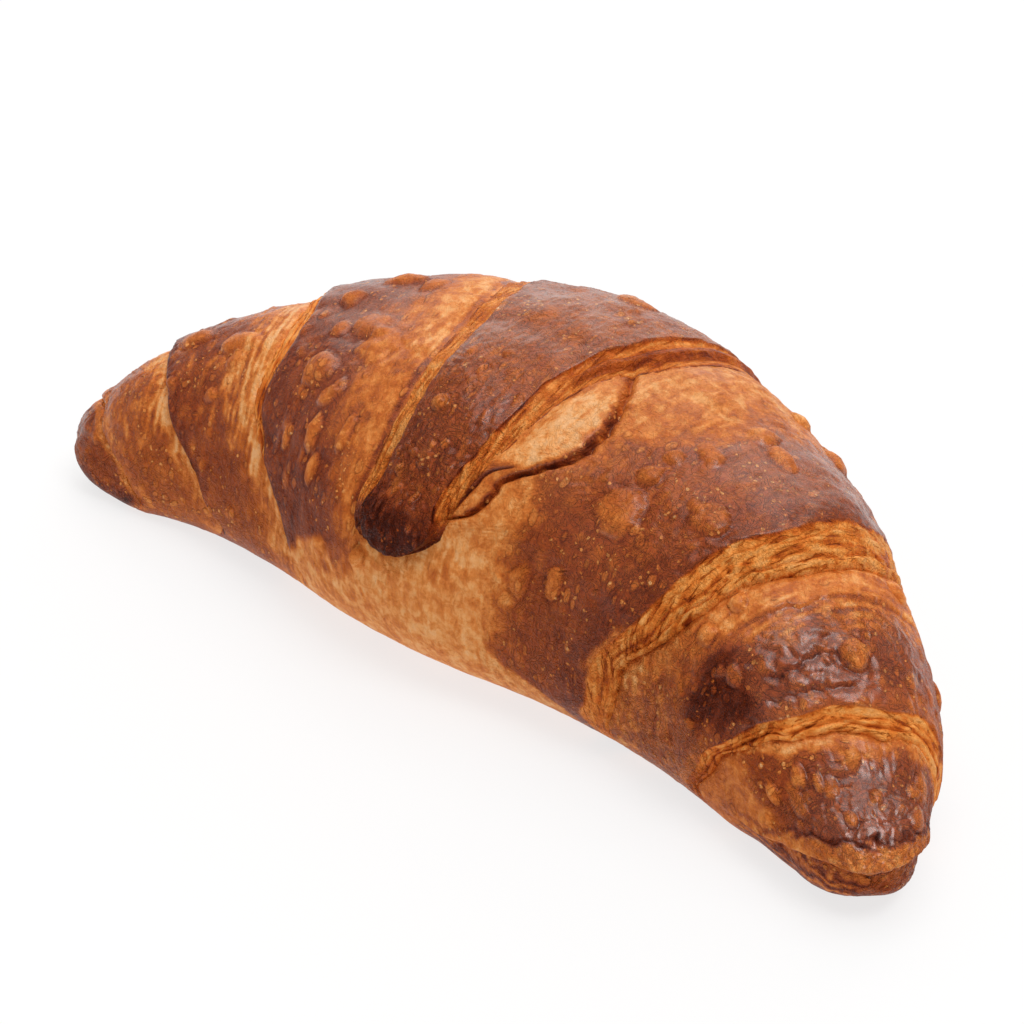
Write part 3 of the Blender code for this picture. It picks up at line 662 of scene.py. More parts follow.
def cut_profile(name, angle):
    """Rings across a cut edge, as shares of its width and of its drop, and their painted crease shade."""
    leaves = EDGE_LEAVES[name]
    seed = 90 + 10 * sorted(EDGE_PLACES).index(name)
    starts = [np.zeros_like(angle)]
    calm = 0.3 + 0.7 * ease(-2.0, 24.0, round_angle(angle))
    for number, (start, *_) in enumerate(leaves[1:]):
        stray = 0.75 * wander(angle, 9.0, seed + number) + 0.15 * wander(angle, 2.6, seed + number + 5)
        starts.append(start + LEAF_STRAY * stray)
    starts.append(np.ones_like(angle))
    rings = []
    fallen = np.zeros_like(angle)
    for number, (_, part, bulge, riser, line) in enumerate(leaves):
        start, width = starts[number], starts[number + 1] - starts[number]
        uneven = 1 + 0.9 * wander(angle, 4.0, seed + 20 + number)
        groove = np.maximum(LEAF_GROOVE * uneven, 0.0) * line * calm
        bulge = bulge * np.maximum(1 + 0.9 * wander(angle, 5.0, seed + 30 + number), 0.0) * calm
        line = line * calm
        for v in RISER_STOPS:
            rings.append((start + riser * v * width, fallen + (part + groove) * v, line * v**6))
        for v in TREAD_STOPS:
            rise = groove * (1 - v) ** 2 - bulge * np.sin(math.pi * v)
            share = start + (riser + (1 - riser) * v) * width
            rings.append((share, fallen + part + rise, line * (1 - v) ** 5))
        fallen = fallen + part
    rings.append((np.ones_like(angle), np.ones_like(angle), np.ones_like(angle)))
    return rings


def angles_round():
    """Angles of the shells' points: close together where they are seen, wide apart below."""
    first, last = ANGLES_SEEN
    seen = np.linspace(first, last, POINTS_SEEN, endpoint=False)
    under = np.linspace(last, first + 360.0, POINTS_UNDER, endpoint=False)
    return np.concatenate([seen, under])


class Shell:
    """Rings of one layer: places along, heights, share across a cut edge, painted crease shade, depth
    below.
    """

    def __init__(self, angle, under):
        self.angle = angle
        self.under = under
        self.rings = []

    def add(self, place, height=None, share=-1.0, crease=0.0, sunk=0.0):
        full = np.ones_like(self.angle)
        if height is None:
            height = level(place, self.angle, self.under)
        self.rings.append([full * value for value in (place, height, share, crease, sunk)])

    def come_out_from(self, name):
        """Rings that are hidden under the layer above, up to where this one shows."""
        side = -1 if name.startswith("left") else 1
        foot = edge_place(name, self.angle) + side * cut_width(name, self.angle) / HALF_RUN
        for back, sunk in HIDDEN_RINGS:
            place = foot - side * back * UNDER_REACH / HALF_RUN
            self.add(place, level(foot, self.angle, self.under) - sunk, sunk=sunk)
        return foot

    def run(self, start, stop, cells, closing=False):
        """Rings at the surface between two places, without the two themselves."""
        for i in range(1, cells):
            share = i / cells
            if closing:
                share = 1 - (1 - share) ** 2
            self.add(start + (stop - start) * share)

    def end_in_cut(self, name):
        """The cut edge, and the rings that tuck in under it."""
        side = -1 if name.startswith("left") else 1
        edge = edge_place(name, self.angle)
        width = side * cut_width(name, self.angle) / HALF_RUN
        top = level(edge, self.angle, self.under)
        foot = level(edge + width, self.angle, self.under + (name,))
        foot = foot - CUT_FOOT_SINKS - CUT_FOOT_SINKS_SEEN * relief_share(self.angle)
        for share, fallen, crease in cut_profile(name, self.angle):
            self.add(edge + width * share, top + (foot - top) * fallen, share, crease)
        for back, sunk in TUCKED_RINGS:
            self.add(edge + width * (1 - back), foot - sunk, 1.0, 1.0, sunk)

    def arrays(self):
        return np.array(self.rings).transpose(1, 0, 2)


def middle_shell(angle):
    """The widest layer, from its left cut edge under the flap to its right one."""
    shell = Shell(angle, ())
    shell.end_in_cut("left_second")
    shell.rings.reverse()
    tear = tear_place(angle)
    shell.run(edge_place("left_second", angle), tear - TEAR_SHOULDER / HALF_RUN, MIDDLE_CELLS[0])
    for step in TEAR_STEPS:
        shell.add(tear + step / HALF_RUN)
    shell.run(tear + TEAR_SHOULDER / HALF_RUN, edge_place("right_second", angle), MIDDLE_CELLS[1])
    shell.end_in_cut("right_second")
    return shell


def outer_shell(angle, under, cells, end):
    """A layer that comes out from under its neighbour, up to its own cut edge or to the roll's tip."""
    shell = Shell(angle, under)
    foot = shell.come_out_from(under[-1])
    shell.add(foot)
    if end in EDGE_PLACES:
        shell.run(foot, edge_place(end, angle), cells)
        shell.end_in_cut(end)
    else:
        shell.run(foot, np.full_like(angle, end), cells, closing=True)
    return shell


def flap_rows():
    """Angles of the flap's rows: crowded at its point, so that it ends as a full round lobe."""
    quarter = np.linspace(0.0, math.pi / 2, FLAP_POINT_ROWS, endpoint=False)
    point = FLAP_POINT + FLAP_ROUNDING * (1 - np.cos(quarter))
    rest = np.linspace(FLAP_POINT + FLAP_ROUNDING, FLAP_END, FLAP_ROWS)
    fullness = np.concatenate([np.sin(quarter), np.ones(FLAP_ROWS)])
    return np.concatenate([point, rest]), fullness


def flap_fall(share, angles, on_left):
    """How far down the flap's side has come at a share of its width, and its painted crease shade there.
    """
    full = np.ones_like(angles)
    if on_left:
        return np.interp(share, STRIP_SHARES, STRIP_FALLEN) * full, ridge(share, 0.9, 0.07) * full
    slope = np.interp(share, SLOPE_SHARES, SLOPE_FALLEN)
    lip = np.interp(share, LIP_SHARES, LIP_FALLEN)
    rolled = ease(*LIP_FROM, angles)
    lines = ridge(share, 0.58, 0.035) + ridge(share, 0.85, 0.04)
    hollow = 0.35 * ridge(share, 0.22, 0.12) + ridge(share, 0.69, 0.05)
    end = 0.9 * ridge(share, 1.0, 0.06)
    return slope + (lip - slope) * rolled, 0.45 * lines * (1 - rolled) + hollow * rolled + end


def flap_shell():
    """The point of the dough triangle: closed loops of places and heights, from its point backwards."""
    angles, fullness = flap_rows()
    left, right = flap_edges(angles)
    rounding = fullness**FLAP_SQUARE
    middle, half = (left + right) / 2, (right - left) / 2 * rounding
    plump = ease(FLAP_POINT + 2 * FLAP_POINT_REACH, FLAP_POINT + FLAP_POINT_REACH, angles)
    thickness = FLAP_THICKNESS + (FLAP_POINT_THICKNESS - FLAP_THICKNESS) * plump
    thickness = thickness * rounding
    sunk = (thickness + FLAP_SINKS_BELOW) * ease(FLAP_SINKS_FROM, FLAP_END, angles)
    cut_left = FLAP_CUT_LEFT * rounding / HALF_RUN
    cut_right = smooth_through(FLAP_ANGLES, FLAP_CUT_RIGHT, angles) * rounding / HALF_RUN
    shoulder = FLAP_SHOULDER * thickness
    waver = 0.25 * np.sin(np.radians(angles) * 17) + 0.15 * np.sin(np.radians(angles) * 31 + 1.0)
    rings = []

    def add(place, lift, across, share=-1.0, crease=0.0):
        full = np.ones_like(angles)
        rings.append([full * value for value in (place, lift - sunk, across, share, crease)])

    def add_side(side, cut, waved, cells):
        for i in cells:
            share = i / max(cells)
            fallen, crease = flap_fall(share, angles, side < 0)
            place = middle + side * half + side * cut * share * (1 + waved * (1 - share))
            add(place, shoulder * (1 - fallen), side * (1.0 + share), share, crease)

    add_side(-1, cut_left, waver, range(FLAP_STRIP_CELLS, -1, -1))
    for i in range(1, FLAP_CROWN_CELLS):
        across = 2 * i / FLAP_CROWN_CELLS - 1
        crown = FLAP_SHOULDER + (1 - FLAP_SHOULDER) * (1 - across**2)
        add(middle + half * across, thickness * crown, across)
    add_side(1, cut_right, 0.4 * waver, range(FLAP_CUT_CELLS + 1))
    last, first = middle + half + cut_right, middle - half - cut_left
    add(last, -FLAP_TUCK, 2.0, 1.0, 1.0)
    for i in range(1, FLAP_BASE_CELLS):
        add(last + (first - last) * i / FLAP_BASE_CELLS, -FLAP_DEPTH, 0.0, 1.0, 1.0)
    add(first, -FLAP_TUCK, -2.0, 1.0, 1.0)
    return angles, np.array(rings).transpose(1, 2, 0)


# How the crust is baked: 0 is pale dough, 1 is burnt.


def swirled(plain, size, amount, seed):
    """The place shifted by slow noise, so that a pattern laid there swirls."""
    shift = np.stack([grain(plain, size, seed + i) for i in range(3)], -1)
    return plain + amount * shift


def tilted(rolled):
    """Places for patterns that slant across the roll, as pale dough does where it stretched."""
    return np.stack([rolled[..., 0] + 0.8 * rolled[..., 1], rolled[..., 1], rolled[..., 2]], -1)


def mottle(plain, rolled, light):
    """Uneven baking of several sizes, some of it in patches with clear edges."""
    swirl = swirled(plain, 5.0, 2.6, 24)
    large = grain(plain, 8.0, 21)
    middle = grain(swirl, 2.8, 22)
    small = grain(swirl, 1.2, 23)
    shift = 0.8 * (swirl - plain)
    slanting = grain(tilted(rolled) + shift, (1.9, 5.0, 2.2), 79)
    drawn = blend(grain(rolled + shift, (2.2, 5.0, 2.2), 62), slanting, light)
    patches = ease(-0.08, 0.10, middle + 0.4 * drawn) - 0.5
    return 0.45 * large + 0.25 * middle + 0.35 * small + 0.45 * drawn + 0.30 * patches


def roll_place(along, angle, plain):
    """Millimetres along and round the roll, for patterns that follow the rolling, but not at its tips."""
    rolled = np.stack([along * HALF_RUN, round_angle(angle) * ROLL_SCALE, 0 * along], -1)
    return blend(plain, rolled, within(-1.03, -0.92, 0.9, 1.05, along)[..., None])


def brown_middle(along, angle, plain):
    """Baking of the widest layer, with the torn pale dough and the dark lines beside the flap."""
    turned = round_angle(angle)
    left, right = flap_edges(np.clip(turned, FLAP_POINT, FLAP_END))
    wave = 3.2 * grain(plain, 7.0, 31) + 1.6 * grain(plain, 2.6, 32)
    left_foot = right_of(left, along) - FLAP_CUT_LEFT
    right_foot = right_of(along, right) - smooth_through(FLAP_ANGLES, FLAP_CUT_RIGHT, turned)
    to_left_edge = -out_from("left_second", along, angle)
    to_right_edge = -out_from("right_second", along, angle)
    # Left of the flap: golden beside it, dark towards the cut edge, brightest near the crest.
    past_dark = right_of(along, smooth_through(LEFT_DARK_ANGLES, LEFT_DARK_PLACES, turned)) + wave
    brown_left = 0.76 - 0.34 * ease(-5.0, 5.0, past_dark)
    brown_left -= 0.24 * ease(9.0, 2.0, left_foot + wave) * ease(64.0, 80.0, turned)
    brown_left += 0.07 * ease(4.5, 0.5, to_left_edge + wave) * ease(95.0, 70.0, turned)
    brown_left += 0.06 * ease(50.0, 15.0, turned) * ease(3.0, -3.0, past_dark)
    # Right of the flap: pale, golden, then brown, darker low down and towards the cut edge.
    past_pale = right_of(along, smooth_through(PALE_ANGLES, PALE_ENDS, turned)) + wave
    past_gold = right_of(along, smooth_through(GOLD_ANGLES, GOLD_ENDS, turned)) + 1.3 * wave
    brown_right = 0.27 + 0.12 * ease(-2.0, 3.5, past_pale) + 0.25 * ease(-4.0, 5.0, past_gold)
    brown_right += 0.09 * ease(62.0, 22.0, turned) * ease(-3.0, 7.0, past_gold)
    brown_right += 0.08 * ease(10.0, 2.0, to_right_edge + wave)
    brown = np.where(along < (left + right) / 2, brown_left, brown_right)
    # The lens of pale dough, the smaller lens below it, and the baked strip beside the flap.
    before_tear = right_of(tear_place(angle), along)
    torn = within(TEAR_FROM + 2, TEAR_FROM + 9, TEAR_TO - 4, TEAR_TO + 1, turned)
    lens = 0.11 + 0.22 * ease(2.8, 0.8, before_tear) + 0.20 * ease(2.6, 0.2, right_foot)
    lens += 0.10 * grain(swirled(plain, 4.0, 1.5, 37), 2.2, 38)
    branch = right_of(along, branch_place(angle))
    lens = blend(lens, 0.52 - 0.22 * ease(-0.2, 1.0, branch), ease(49.0, 45.0, turned))
    inside = torn * ease(-0.15, 0.15, before_tear) * ease(-0.6, 0.2, right_foot)
    brown = blend(brown, lens, inside)
    # The pale foot on the inner side.
    top = smooth_through(FOOT_ALONG, FOOT_ANGLES, along) + 1.6 * wave
    side = smooth_through(FOOT_RIGHT_ANGLES, FOOT_RIGHT_PLACES, turned)
    foot = ease(2.5, -2.5, turned - top) * ease(1.6, -1.0, right_of(along, side) + 0.5 * wave)
    brown = blend(brown, 0.22 + 0.06 * wave / 3.2, foot)
    # Golden strands at the low end of the cut edge on the right.
    strands = ease(30.0, 10.0, turned + 8 * grain(plain, 4.0, 44))
    brown = blend(brown, 0.33, strands * ease(1.8, 0.2, to_right_edge + 0.5 * wave))
    # Dark lines: the tear's dark torn crust with painted shade of its groove, and painted shade in the
    # crease of its branch and along the flap's left foot.
    ragged = 0.6 * grain(plain, 1.4, 33) + 0.6 * grain(plain, 3.5, 34)
    groove = ridge(before_tear + 0.6 * ragged, 0.55, np.maximum(0.95 + 0.5 * ragged, 0.4))
    groove = groove * tear_share(angle) * (0.85 + 0.5 * grain(plain, 1.0, 39))
    groove += 0.8 * ridge(branch, 0, 0.55) * branch_share(angle)
    left_foot_shade = ridge(left_foot, 0.5, 0.7) * ease(12.0, 20.0, turned)
    return brown + 0.60 * np.clip(groove, 0, 1) + (0.36 + 0.20 * ragged) * left_foot_shade


def tear_share(angle):
    """Where the tear is dark: from its lower end almost up to the crest."""
    turned = round_angle(angle)
    low = ease(TEAR_FROM, TEAR_FROM + TEAR_FADE, turned)
    return low * (0.25 + 0.75 * ease(TEAR_DARK_TO, TEAR_DARK_TO - TEAR_FADE, turned)) * (turned < TEAR_TO)


def brown_collar(name_in, name_out, pale, golden, dark, fade=3.0):
    """Baking of a layer: pale where it comes out, golden after that, and dark towards its edge."""

    def brown(along, angle, plain):
        turned = round_angle(angle)
        wave = 2.0 * grain(plain, 6.0, 41) + 1.1 * grain(plain, 2.2, 42)
        out = out_from(name_in, along, angle) - cut_width(name_in, angle) + wave
        on_left = name_in.startswith("left")
        shortest, full_from, full_to = (0.7, 10.0, 60.0) if on_left else (0.5, 20.0, 75.0)
        out = out / (shortest + (1 - shortest) * ease(full_from, full_to, turned))
        value = pale[1] + (golden[1] - pale[1]) * ease(0.4 * pale[0], 1.4 * pale[0], out)
        value += (dark - golden[1]) * ease(golden[0] - fade, golden[0] + fade, out)
        rolled = roll_place(along, angle, plain)
        lines = grain(rolled, (0.8, 14.0, 1.0), 71) * (0.34 if on_left else 0.20)
        value -= lines * ease(golden[0] + 2.0, 0.6 * golden[0], out)
        if on_left:
            drips = np.clip(grain(rolled, (1.8, 6.5, 1.0), 76) - 0.1, 0, 1)
            value -= 0.34 * drips * ease(-5.0, 15.0, turned)
        if name_out:
            change = 0.12 if name_out == "left_third" else -0.12
            value += change * ease(3.4, 0.5, -out_from(name_out, along, angle) + 0.5 * wave)
        return blend(value, 0.45, 0.5 * ease(8.0, -14.0, turned + 2 * wave))

    return brown


def brown_right_band(along, angle, plain):
    """Baking of the second layer on the right: its pale leaf, the dark skin, and painted shade in the
    creases.
    """
    base = brown_collar("right_second", "right_third", (4.6, 0.34), (8.6, 0.46), 0.71)(along, angle, plain)
    creased = band_hollows(along, angle)[1]
    turned = round_angle(angle) + 7 * grain(plain, 4.0, 44)
    golden = ease(42.0, 24.0, turned) * ease(0.74, 0.70, along + 0.02 * grain(plain, 5.0, 40))
    streaks = grain(roll_place(along, angle, plain), (1.6, 3.0, 1.6), 75)
    crusty = domes(swirled(plain, 2.0, 0.6, 77), 2.6, 78, 0.6, 0.25, 0.5)
    out = out_from("right_second", along, angle) - cut_width("right_second", angle)
    side = 0.42 + 0.16 * ease(1.0, 6.0, out + 2.0 * grain(plain, 3.0, 82))
    base = blend(base, side + 0.12 * streaks - 0.18 * crusty, golden)
    burnt = within(2.0, 16.0, 40.0, 54.0, turned) * ease(0.70, 0.75, along)
    # Painted shade along the step and in the cracks.
    return base + 0.22 * burnt * ease(0.93, 0.87, along) + 0.14 * creased


def brown_right_nose(along, angle, plain):
    """Baking of the right tip: dark on top, a golden band below, and dark leaves under the ledge."""
    base = brown_collar("right_third", None, (0.7, 0.34), (1.3, 0.46), 0.73, 0.9)(along, angle, plain)
    ragged = 0.9 * grain(plain, 3.0, 43) + 0.5 * grain(plain, 1.3, 49)
    height = plain[..., 2] + ragged
    turned = round_angle(angle)
    low = ease(16.0, 2.0, turned + 6 * grain(plain, 4.0, 44)) * ease(1.06, 0.98, along)
    base = blend(base, 0.45, low)
    near_tip = ease(LEDGE_FROM, LEDGE_FROM + LEDGE_FADE, along) * ease(200.0, 150.0, turned)
    top = smooth_through(LEDGE_ALONG, BAND_HEIGHTS, along)
    bottom = smooth_through(LEDGE_ALONG, LEDGE_HEIGHTS, along)
    band = near_tip * ease(top + 0.5, top - 0.6, height)
    base = blend(base, 0.36 + 0.05 * ragged, band)
    # A darker line along the top of the golden band: painted shade of the crease there.
    base += 0.22 * near_tip * ridge(height - top, 0.4, 0.5)
    under = near_tip * ease(bottom + 0.3, bottom - 0.4, plain[..., 2] + 0.3 * ragged)
    lines = 0.68 + 0.22 * np.sin(2.6 * height + 0.5 * ragged)
    return blend(base, lines, under)


def brown_left_nose(along, angle, plain):
    """Baking of the left tip: golden where it comes out, then brown, and darker at its foot."""
    out = out_from("left_tip", along, angle) - cut_width("left_tip", angle)
    value = 0.69 + 0.10 * grain(plain, 2.0, 45) - 0.40 * ease(1.7, 0.7, out + 0.5 * grain(plain, 3.0, 41))
    return value + 0.17 * ease(7.0, 3.5, plain[..., 2] + 1.5 * grain(plain, 3.0, 46))


def brown_flap(angle, across, plain):
    """The flap: dark, nearly black at its point, with a paler crest far from it."""
    value = 0.60 + 0.13 * ease(75.0, 35.0, angle) + 0.24 * ease(33.0, 15.0, angle + 3 * across)
    return value + 0.06 * ease(-0.3, -0.95, across) + 0.05 * grain(plain, 4.0, 47)


# Blisters, wrinkles, pits and the leaves' grain.


def blistered(along, angle, plain, on_flap):
    """Height of the blisters, how far they take the colour of golden crust, and painted shade round their
    feet.
    """
    lift, pale = np.zeros_like(along), np.zeros_like(along)
    uneven = 1 + 0.28 * grain(plain, 3.0, 51) + 0.06 * grain(plain, 1.1, 50)
    for place, turn, half_round, half_along, height, paler in BLISTERS:
        at, here = np.array([place]), np.array([float(turn)])
        left, right = flap_edges(here)
        if (left[0] < place < right[0] and turn > FLAP_POINT) != on_flap:
            continue
        step = plain_point(at, here + 1.0)[0] - plain_point(at, here - 1.0)[0]
        per_degree = np.linalg.norm(step) / 2
        across = (along - place) * HALF_RUN / half_along
        around = (round_angle(angle) - turn) * per_degree / half_round
        near = np.maximum(np.abs(across), np.abs(around)) < BLISTER_REACH
        if not near.any():
            continue
        away = np.hypot(across[near], around[near]) * uneven[near]
        dome = np.clip(1 - away**2, 0, 1)
        rim = ridge(away, 1.08, 0.16)
        lift[near] += height * (1.05 * dome**0.7 - 0.12 * rim)
        inside = 0.5 * ease(0.0, 0.15, dome) + 0.5 * ease(0.05, 0.8, dome)
        pale[near] = np.maximum(pale[near], np.minimum(3.2 * paler, 0.95) * inside)
        # A darker ring just outside each blister: painted shade at its foot.
        pale[near] -= 0.28 * rim * (dome <= 0)
    return lift, pale


def ridged(point, size, seed):
    """Sharp-crested noise from -1 to 1."""
    return 1 - 2.4 * np.abs(grain(point, size, seed))


def crust(along, angle, plain, share, crease, brown, wrinkled, on_flap):
    """Fine height of the crust over a layer, and how far it is baked, with some painted shade in it."""
    rolled = roll_place(along, angle, plain)
    cut = (share > 0.001) & (share < 1.0)
    height = 0.20 * grain(plain, 6.0, 52) + 0.10 * grain(plain, 2.8, 53)
    swirl = swirled(plain, 4.0, 1.6, 66)
    body = 0.6 * within(-1.06, -1.02, 1.03, 1.11, along)
    folds = blend(ridged(swirl, 1.9, 55), ridged(rolled, (2.3, 4.2, 1.0), 54), body)
    blister, paler = blistered(along, angle, plain, on_flap)
    folds = folds * (blister <= 0.02)
    height = height + 0.20 * wrinkled * folds + 0.06 * ridged(swirl, 1.35, 56)
    height += np.where(cut, 0.0, blister)
    warped = rolled + swirled(plain, 1.6, 0.35, 67) - plain + np.array([0.0, 0.0, 1.6])
    small = domes(warped, (3.0, 4.6, 3.2), 57, 0.28, 0.14, 0.42)
    plainly = np.where(cut, 0.0, ease(0.30, 0.5, brown))
    height += plainly * 0.26 * small**0.7
    streak = grain(rolled, (0.8, 7.0, 1.0), 59)
    drift = 2.2 * grain(plain, 6.0, 72)
    marks = grain(tilted(rolled) + drift[..., None], (1.1, 4.0, 1.0), 60)
    light = ease(0.55, 0.3, brown)
    height += light * np.where(cut, 0.0, 0.10 * marks)
    uneven = 0.09 + 0.08 * ease(0.2, 0.4, brown) - 0.11 * ease(0.50, 0.62, brown)
    value = brown + mottle(plain, rolled, light) * uneven
    value += light * (0.08 * marks + 0.06 * streak) + 0.04 * streak
    # Painted shade in the troughs of the wrinkles.
    value += 0.08 * wrinkled * (folds < -0.1)
    value += 0.14 * ease(3.5, 0.8, plain[..., 2] + 0.8 * grain(plain, 3.0, 69))
    paler = np.where(small > 0, np.maximum(paler, plainly * 0.5 * small**0.5), paler)
    cap = np.minimum(brown - 0.08, 0.37)
    value = value + (cap - value) * np.maximum(paler, 0) + 0.4 * np.maximum(-paler, 0)
    # The cut edges: pale golden leaves with pits and a darker ribbon. The pits and the creases between the
    # leaves are painted darker, as painted shade.
    torn = 0.0 if on_flap else 1.0
    pits = torn * domes(rolled + 0.4 * share[..., None], (1.1, 1.7, 1.0), 63, 0.42, 0.18, 0.40)
    grainy = grain(rolled, (0.6, 8.0, 1.0), 64)
    low = ease(75.0, 25.0, round_angle(angle))
    base = 0.30 if on_flap else 0.17 + 0.10 * low
    in_cut = base + 0.30 * crease - (0.13 + 0.10 * low) * grainy + 0.30 * pits
    in_cut += 0.12 * grain(plain, 3.0, 68)
    ribbon = ridge(share + 0.16 * grain(rolled, (3.0, 9.0, 1.0), 80), 0.50, 0.08)
    in_cut += 0.32 * torn * ribbon * (0.7 + 0.8 * grain(plain, 2.2, 81))
    skinned = ease(np.maximum(0.11 + 0.14 * grain(plain, 1.8, 61), 0.02), 0.01, share)
    in_cut = np.maximum(blend(in_cut, np.maximum(brown, in_cut), skinned), 0.08)
    shows = ease(-16.0, 8.0, round_angle(angle) + 5.0 * grain(plain, 4.0, 70))
    value = np.where(cut, blend(brown, in_cut, shows), value)
    strands = (0.08 + 0.12 * low) * grainy
    height = np.where(cut, strands - 0.26 * pits + 0.10 * grain(plain, 2.0, 65), height)
    darkest = np.maximum(brown, 0.68)
    value = np.where(value > darkest, darkest + 0.45 * (value - darkest), value)
    return height * (0.25 + 0.75 * relief_share(angle)), np.clip(value, 0.0, 1.0)


# Meshes.


def placed(name, data):
    """A new object in the scene."""
    made = bpy.data.objects.new(name, data)
    bpy.context.scene.collection.objects.link(made)
    return made


def closed_shell(name, points, values):
    """A closed mesh from rings of points, with the baked values kept at its points."""
    count, around = points.shape[:2]
    middles = np.array([points[0].mean(0), points[-1].mean(0)])
    verts = np.concatenate([points.reshape(-1, 3), middles])
    row, column = np.meshgrid(np.arange(count - 1), np.arange(around), indexing="ij")
    after = (column + 1) % around
    corners = (row * around + column, (row + 1) * around + column)
    corners += ((row + 1) * around + after, row * around + after)
    faces = np.stack(corners, -1).reshape(-1, 4).tolist()
    first, last, base = len(verts) - 2, len(verts) - 1, (count - 1) * around
    for j in range(around):
        k = (j + 1) % around
        faces.append((first, j, k))
        faces.append((last, base + k, base + j))
    if volume(verts, faces) < 0:
        faces = [face[::-1] for face in faces]
    mesh = bpy.data.meshes.new(name)
    verts = verts - np.array([FRAME_X, FRAME_Y, 0.0])
    mesh.from_pydata((verts * MM).tolist(), [], faces)
    mesh.update()
    for key, value in values.items():
        flat = value.reshape(count * around, -1)
        flat = np.concatenate([flat, flat[:1], flat[-1:]]).astype(np.float32)
        kind, held = ("FLOAT_VECTOR", "vector") if flat.shape[1] == 3 else ("FLOAT", "value")
        mesh.attributes.new(key, kind, "POINT").data.foreach_set(held, flat.ravel())
    mesh.shade_smooth()
    return placed(name, mesh)


def glossy(angle):
    """The crust shines most on top, where the egg wash lay thickest, and least underneath."""
    turned = round_angle(angle)
    return 0.08 + 0.92 * ease(8.0, 58.0, np.minimum(turned, 180.0 - turned))


def volume(verts, faces):
    """Signed volume inside the faces: negative if they are turned inwards."""
    total = 0.0
    quads = np.array([face for face in faces if len(face) == 4])
    tris = np.array([face for face in faces if len(face) == 3])
    for trio in (tris, quads[:, (0, 1, 2)], quads[:, (0, 2, 3)]):
        a, b, c = (verts[trio[:, i]] for i in range(3))
        total += np.einsum("ij,ij->i", a, np.cross(b, c)).sum()
    return total


def baked_piece(name, point, place, angle, plain, value, wrinkled, leafy):
    """A closed mesh that keeps what its material needs to know about the crust."""
    values = {"browning": value, "wrinkled": wrinkled, "leafy": leafy, "glossy": glossy(angle)}
    values["rolled"] = roll_place(place, angle, plain)
    return closed_shell(name, point, values)


def in_leaves(share):
    """1 inside a cut edge, between its rim and its foot."""
    return ((share > LEAVES_SHOW[0]) & (share < LEAVES_SHOW[1])).astype(float)


def layer_piece(name, shell, brown_of, wrinkled_of):
    """The piece of one layer, baked."""
    place, height, share, crease, sunk = shell.arrays()
    angle = np.broadcast_to(shell.angle, place.shape)
    plain = plain_point(place, angle)
    brown = brown_of(place, angle, plain)
    wrinkled = wrinkled_of(place, angle)
    fine, value = crust(place, angle, plain, share, crease, brown, wrinkled, False)
    fine = np.where(sunk > 0, 0.0, fine)
    point = plain + outward(place, angle) * (height + fine)[..., None]
    point[..., 2] = np.maximum(point[..., 2], SUNK_CLEARANCE * sunk)
    return baked_piece(name, point, place, angle, plain, value, wrinkled, in_leaves(share))


def flap_piece(name):
    """The piece of the flap, baked."""
    angles, rings = flap_shell()
    place, lift, across, share, crease = rings
    angle = np.broadcast_to(angles[:, None], place.shape)
    near_point = ease(30.0, 10.0, angle) * ease(FLAP_POINT, FLAP_POINT + 3.0, angle)
    angle = angle - near_point * (0.9 * np.sin(2.6 * across + 0.9) + 0.5 * np.sin(6.5 * across))
    plain = plain_point(place, angle)
    brown = brown_flap(angle, across, plain)
    wrinkled = 0.55 + 0.55 * ease(80.0, 40.0, angle)
    fine, value = crust(place, angle, plain, share, crease, brown, wrinkled, True)
    # Small bumps on the lower part of its top, and a rounder right edge there.
    bumps = domes(swirled(plain, 2.0, 0.5, 74), 2.0, 73, 0.7, 0.28, 0.55)
    bumpy = ease(52.0, 34.0, angle) * (np.abs(across) < 1.0)
    fine = fine + 0.34 * bumps**0.7 * bumpy
    value = value - 0.12 * bumps * bumpy
    over_edge = np.where(across <= 1.0, ease(0.4, 1.0, across) ** 2, (1 - share) ** 2)
    fine = fine - 0.55 * over_edge * ease(26.0, 36.0, angle) * ease(84.0, 68.0, angle)
    # Its sides: dark inside the lip, browner at the top of the slope, and burnt near the point.
    dark_lip = ease(*LIP_FROM, angle) * within(0.32, 0.40, 0.62, 0.68, share)
    slope = (1 - ease(*LIP_FROM, angle)) * ease(0.3, 0.05, share)
    value = value + (0.30 * dark_lip + 0.20 * slope) * (across > 1.0)
    burnt = ease(28.0, 16.0, angle + 3.0 * (across < 0) + 2.5 * grain(plain, 3.0, 48))
    value = np.where(np.abs(across) > 1.0, blend(value, 0.92, burnt), value)
    value = np.where(share >= 1.0, 0.75, value)
    height = level(place, angle, ()) + lift + fine * (share < 1.0)
    point = plain + outward(place, angle) * height[..., None]
    point[..., 2] = np.maximum(point[..., 2], FLAP_CLEARANCE)
    leafy = 0.8 * in_leaves(share) * (1 - burnt)
    return baked_piece(name, point, place, angle, plain, value, wrinkled, leafy)


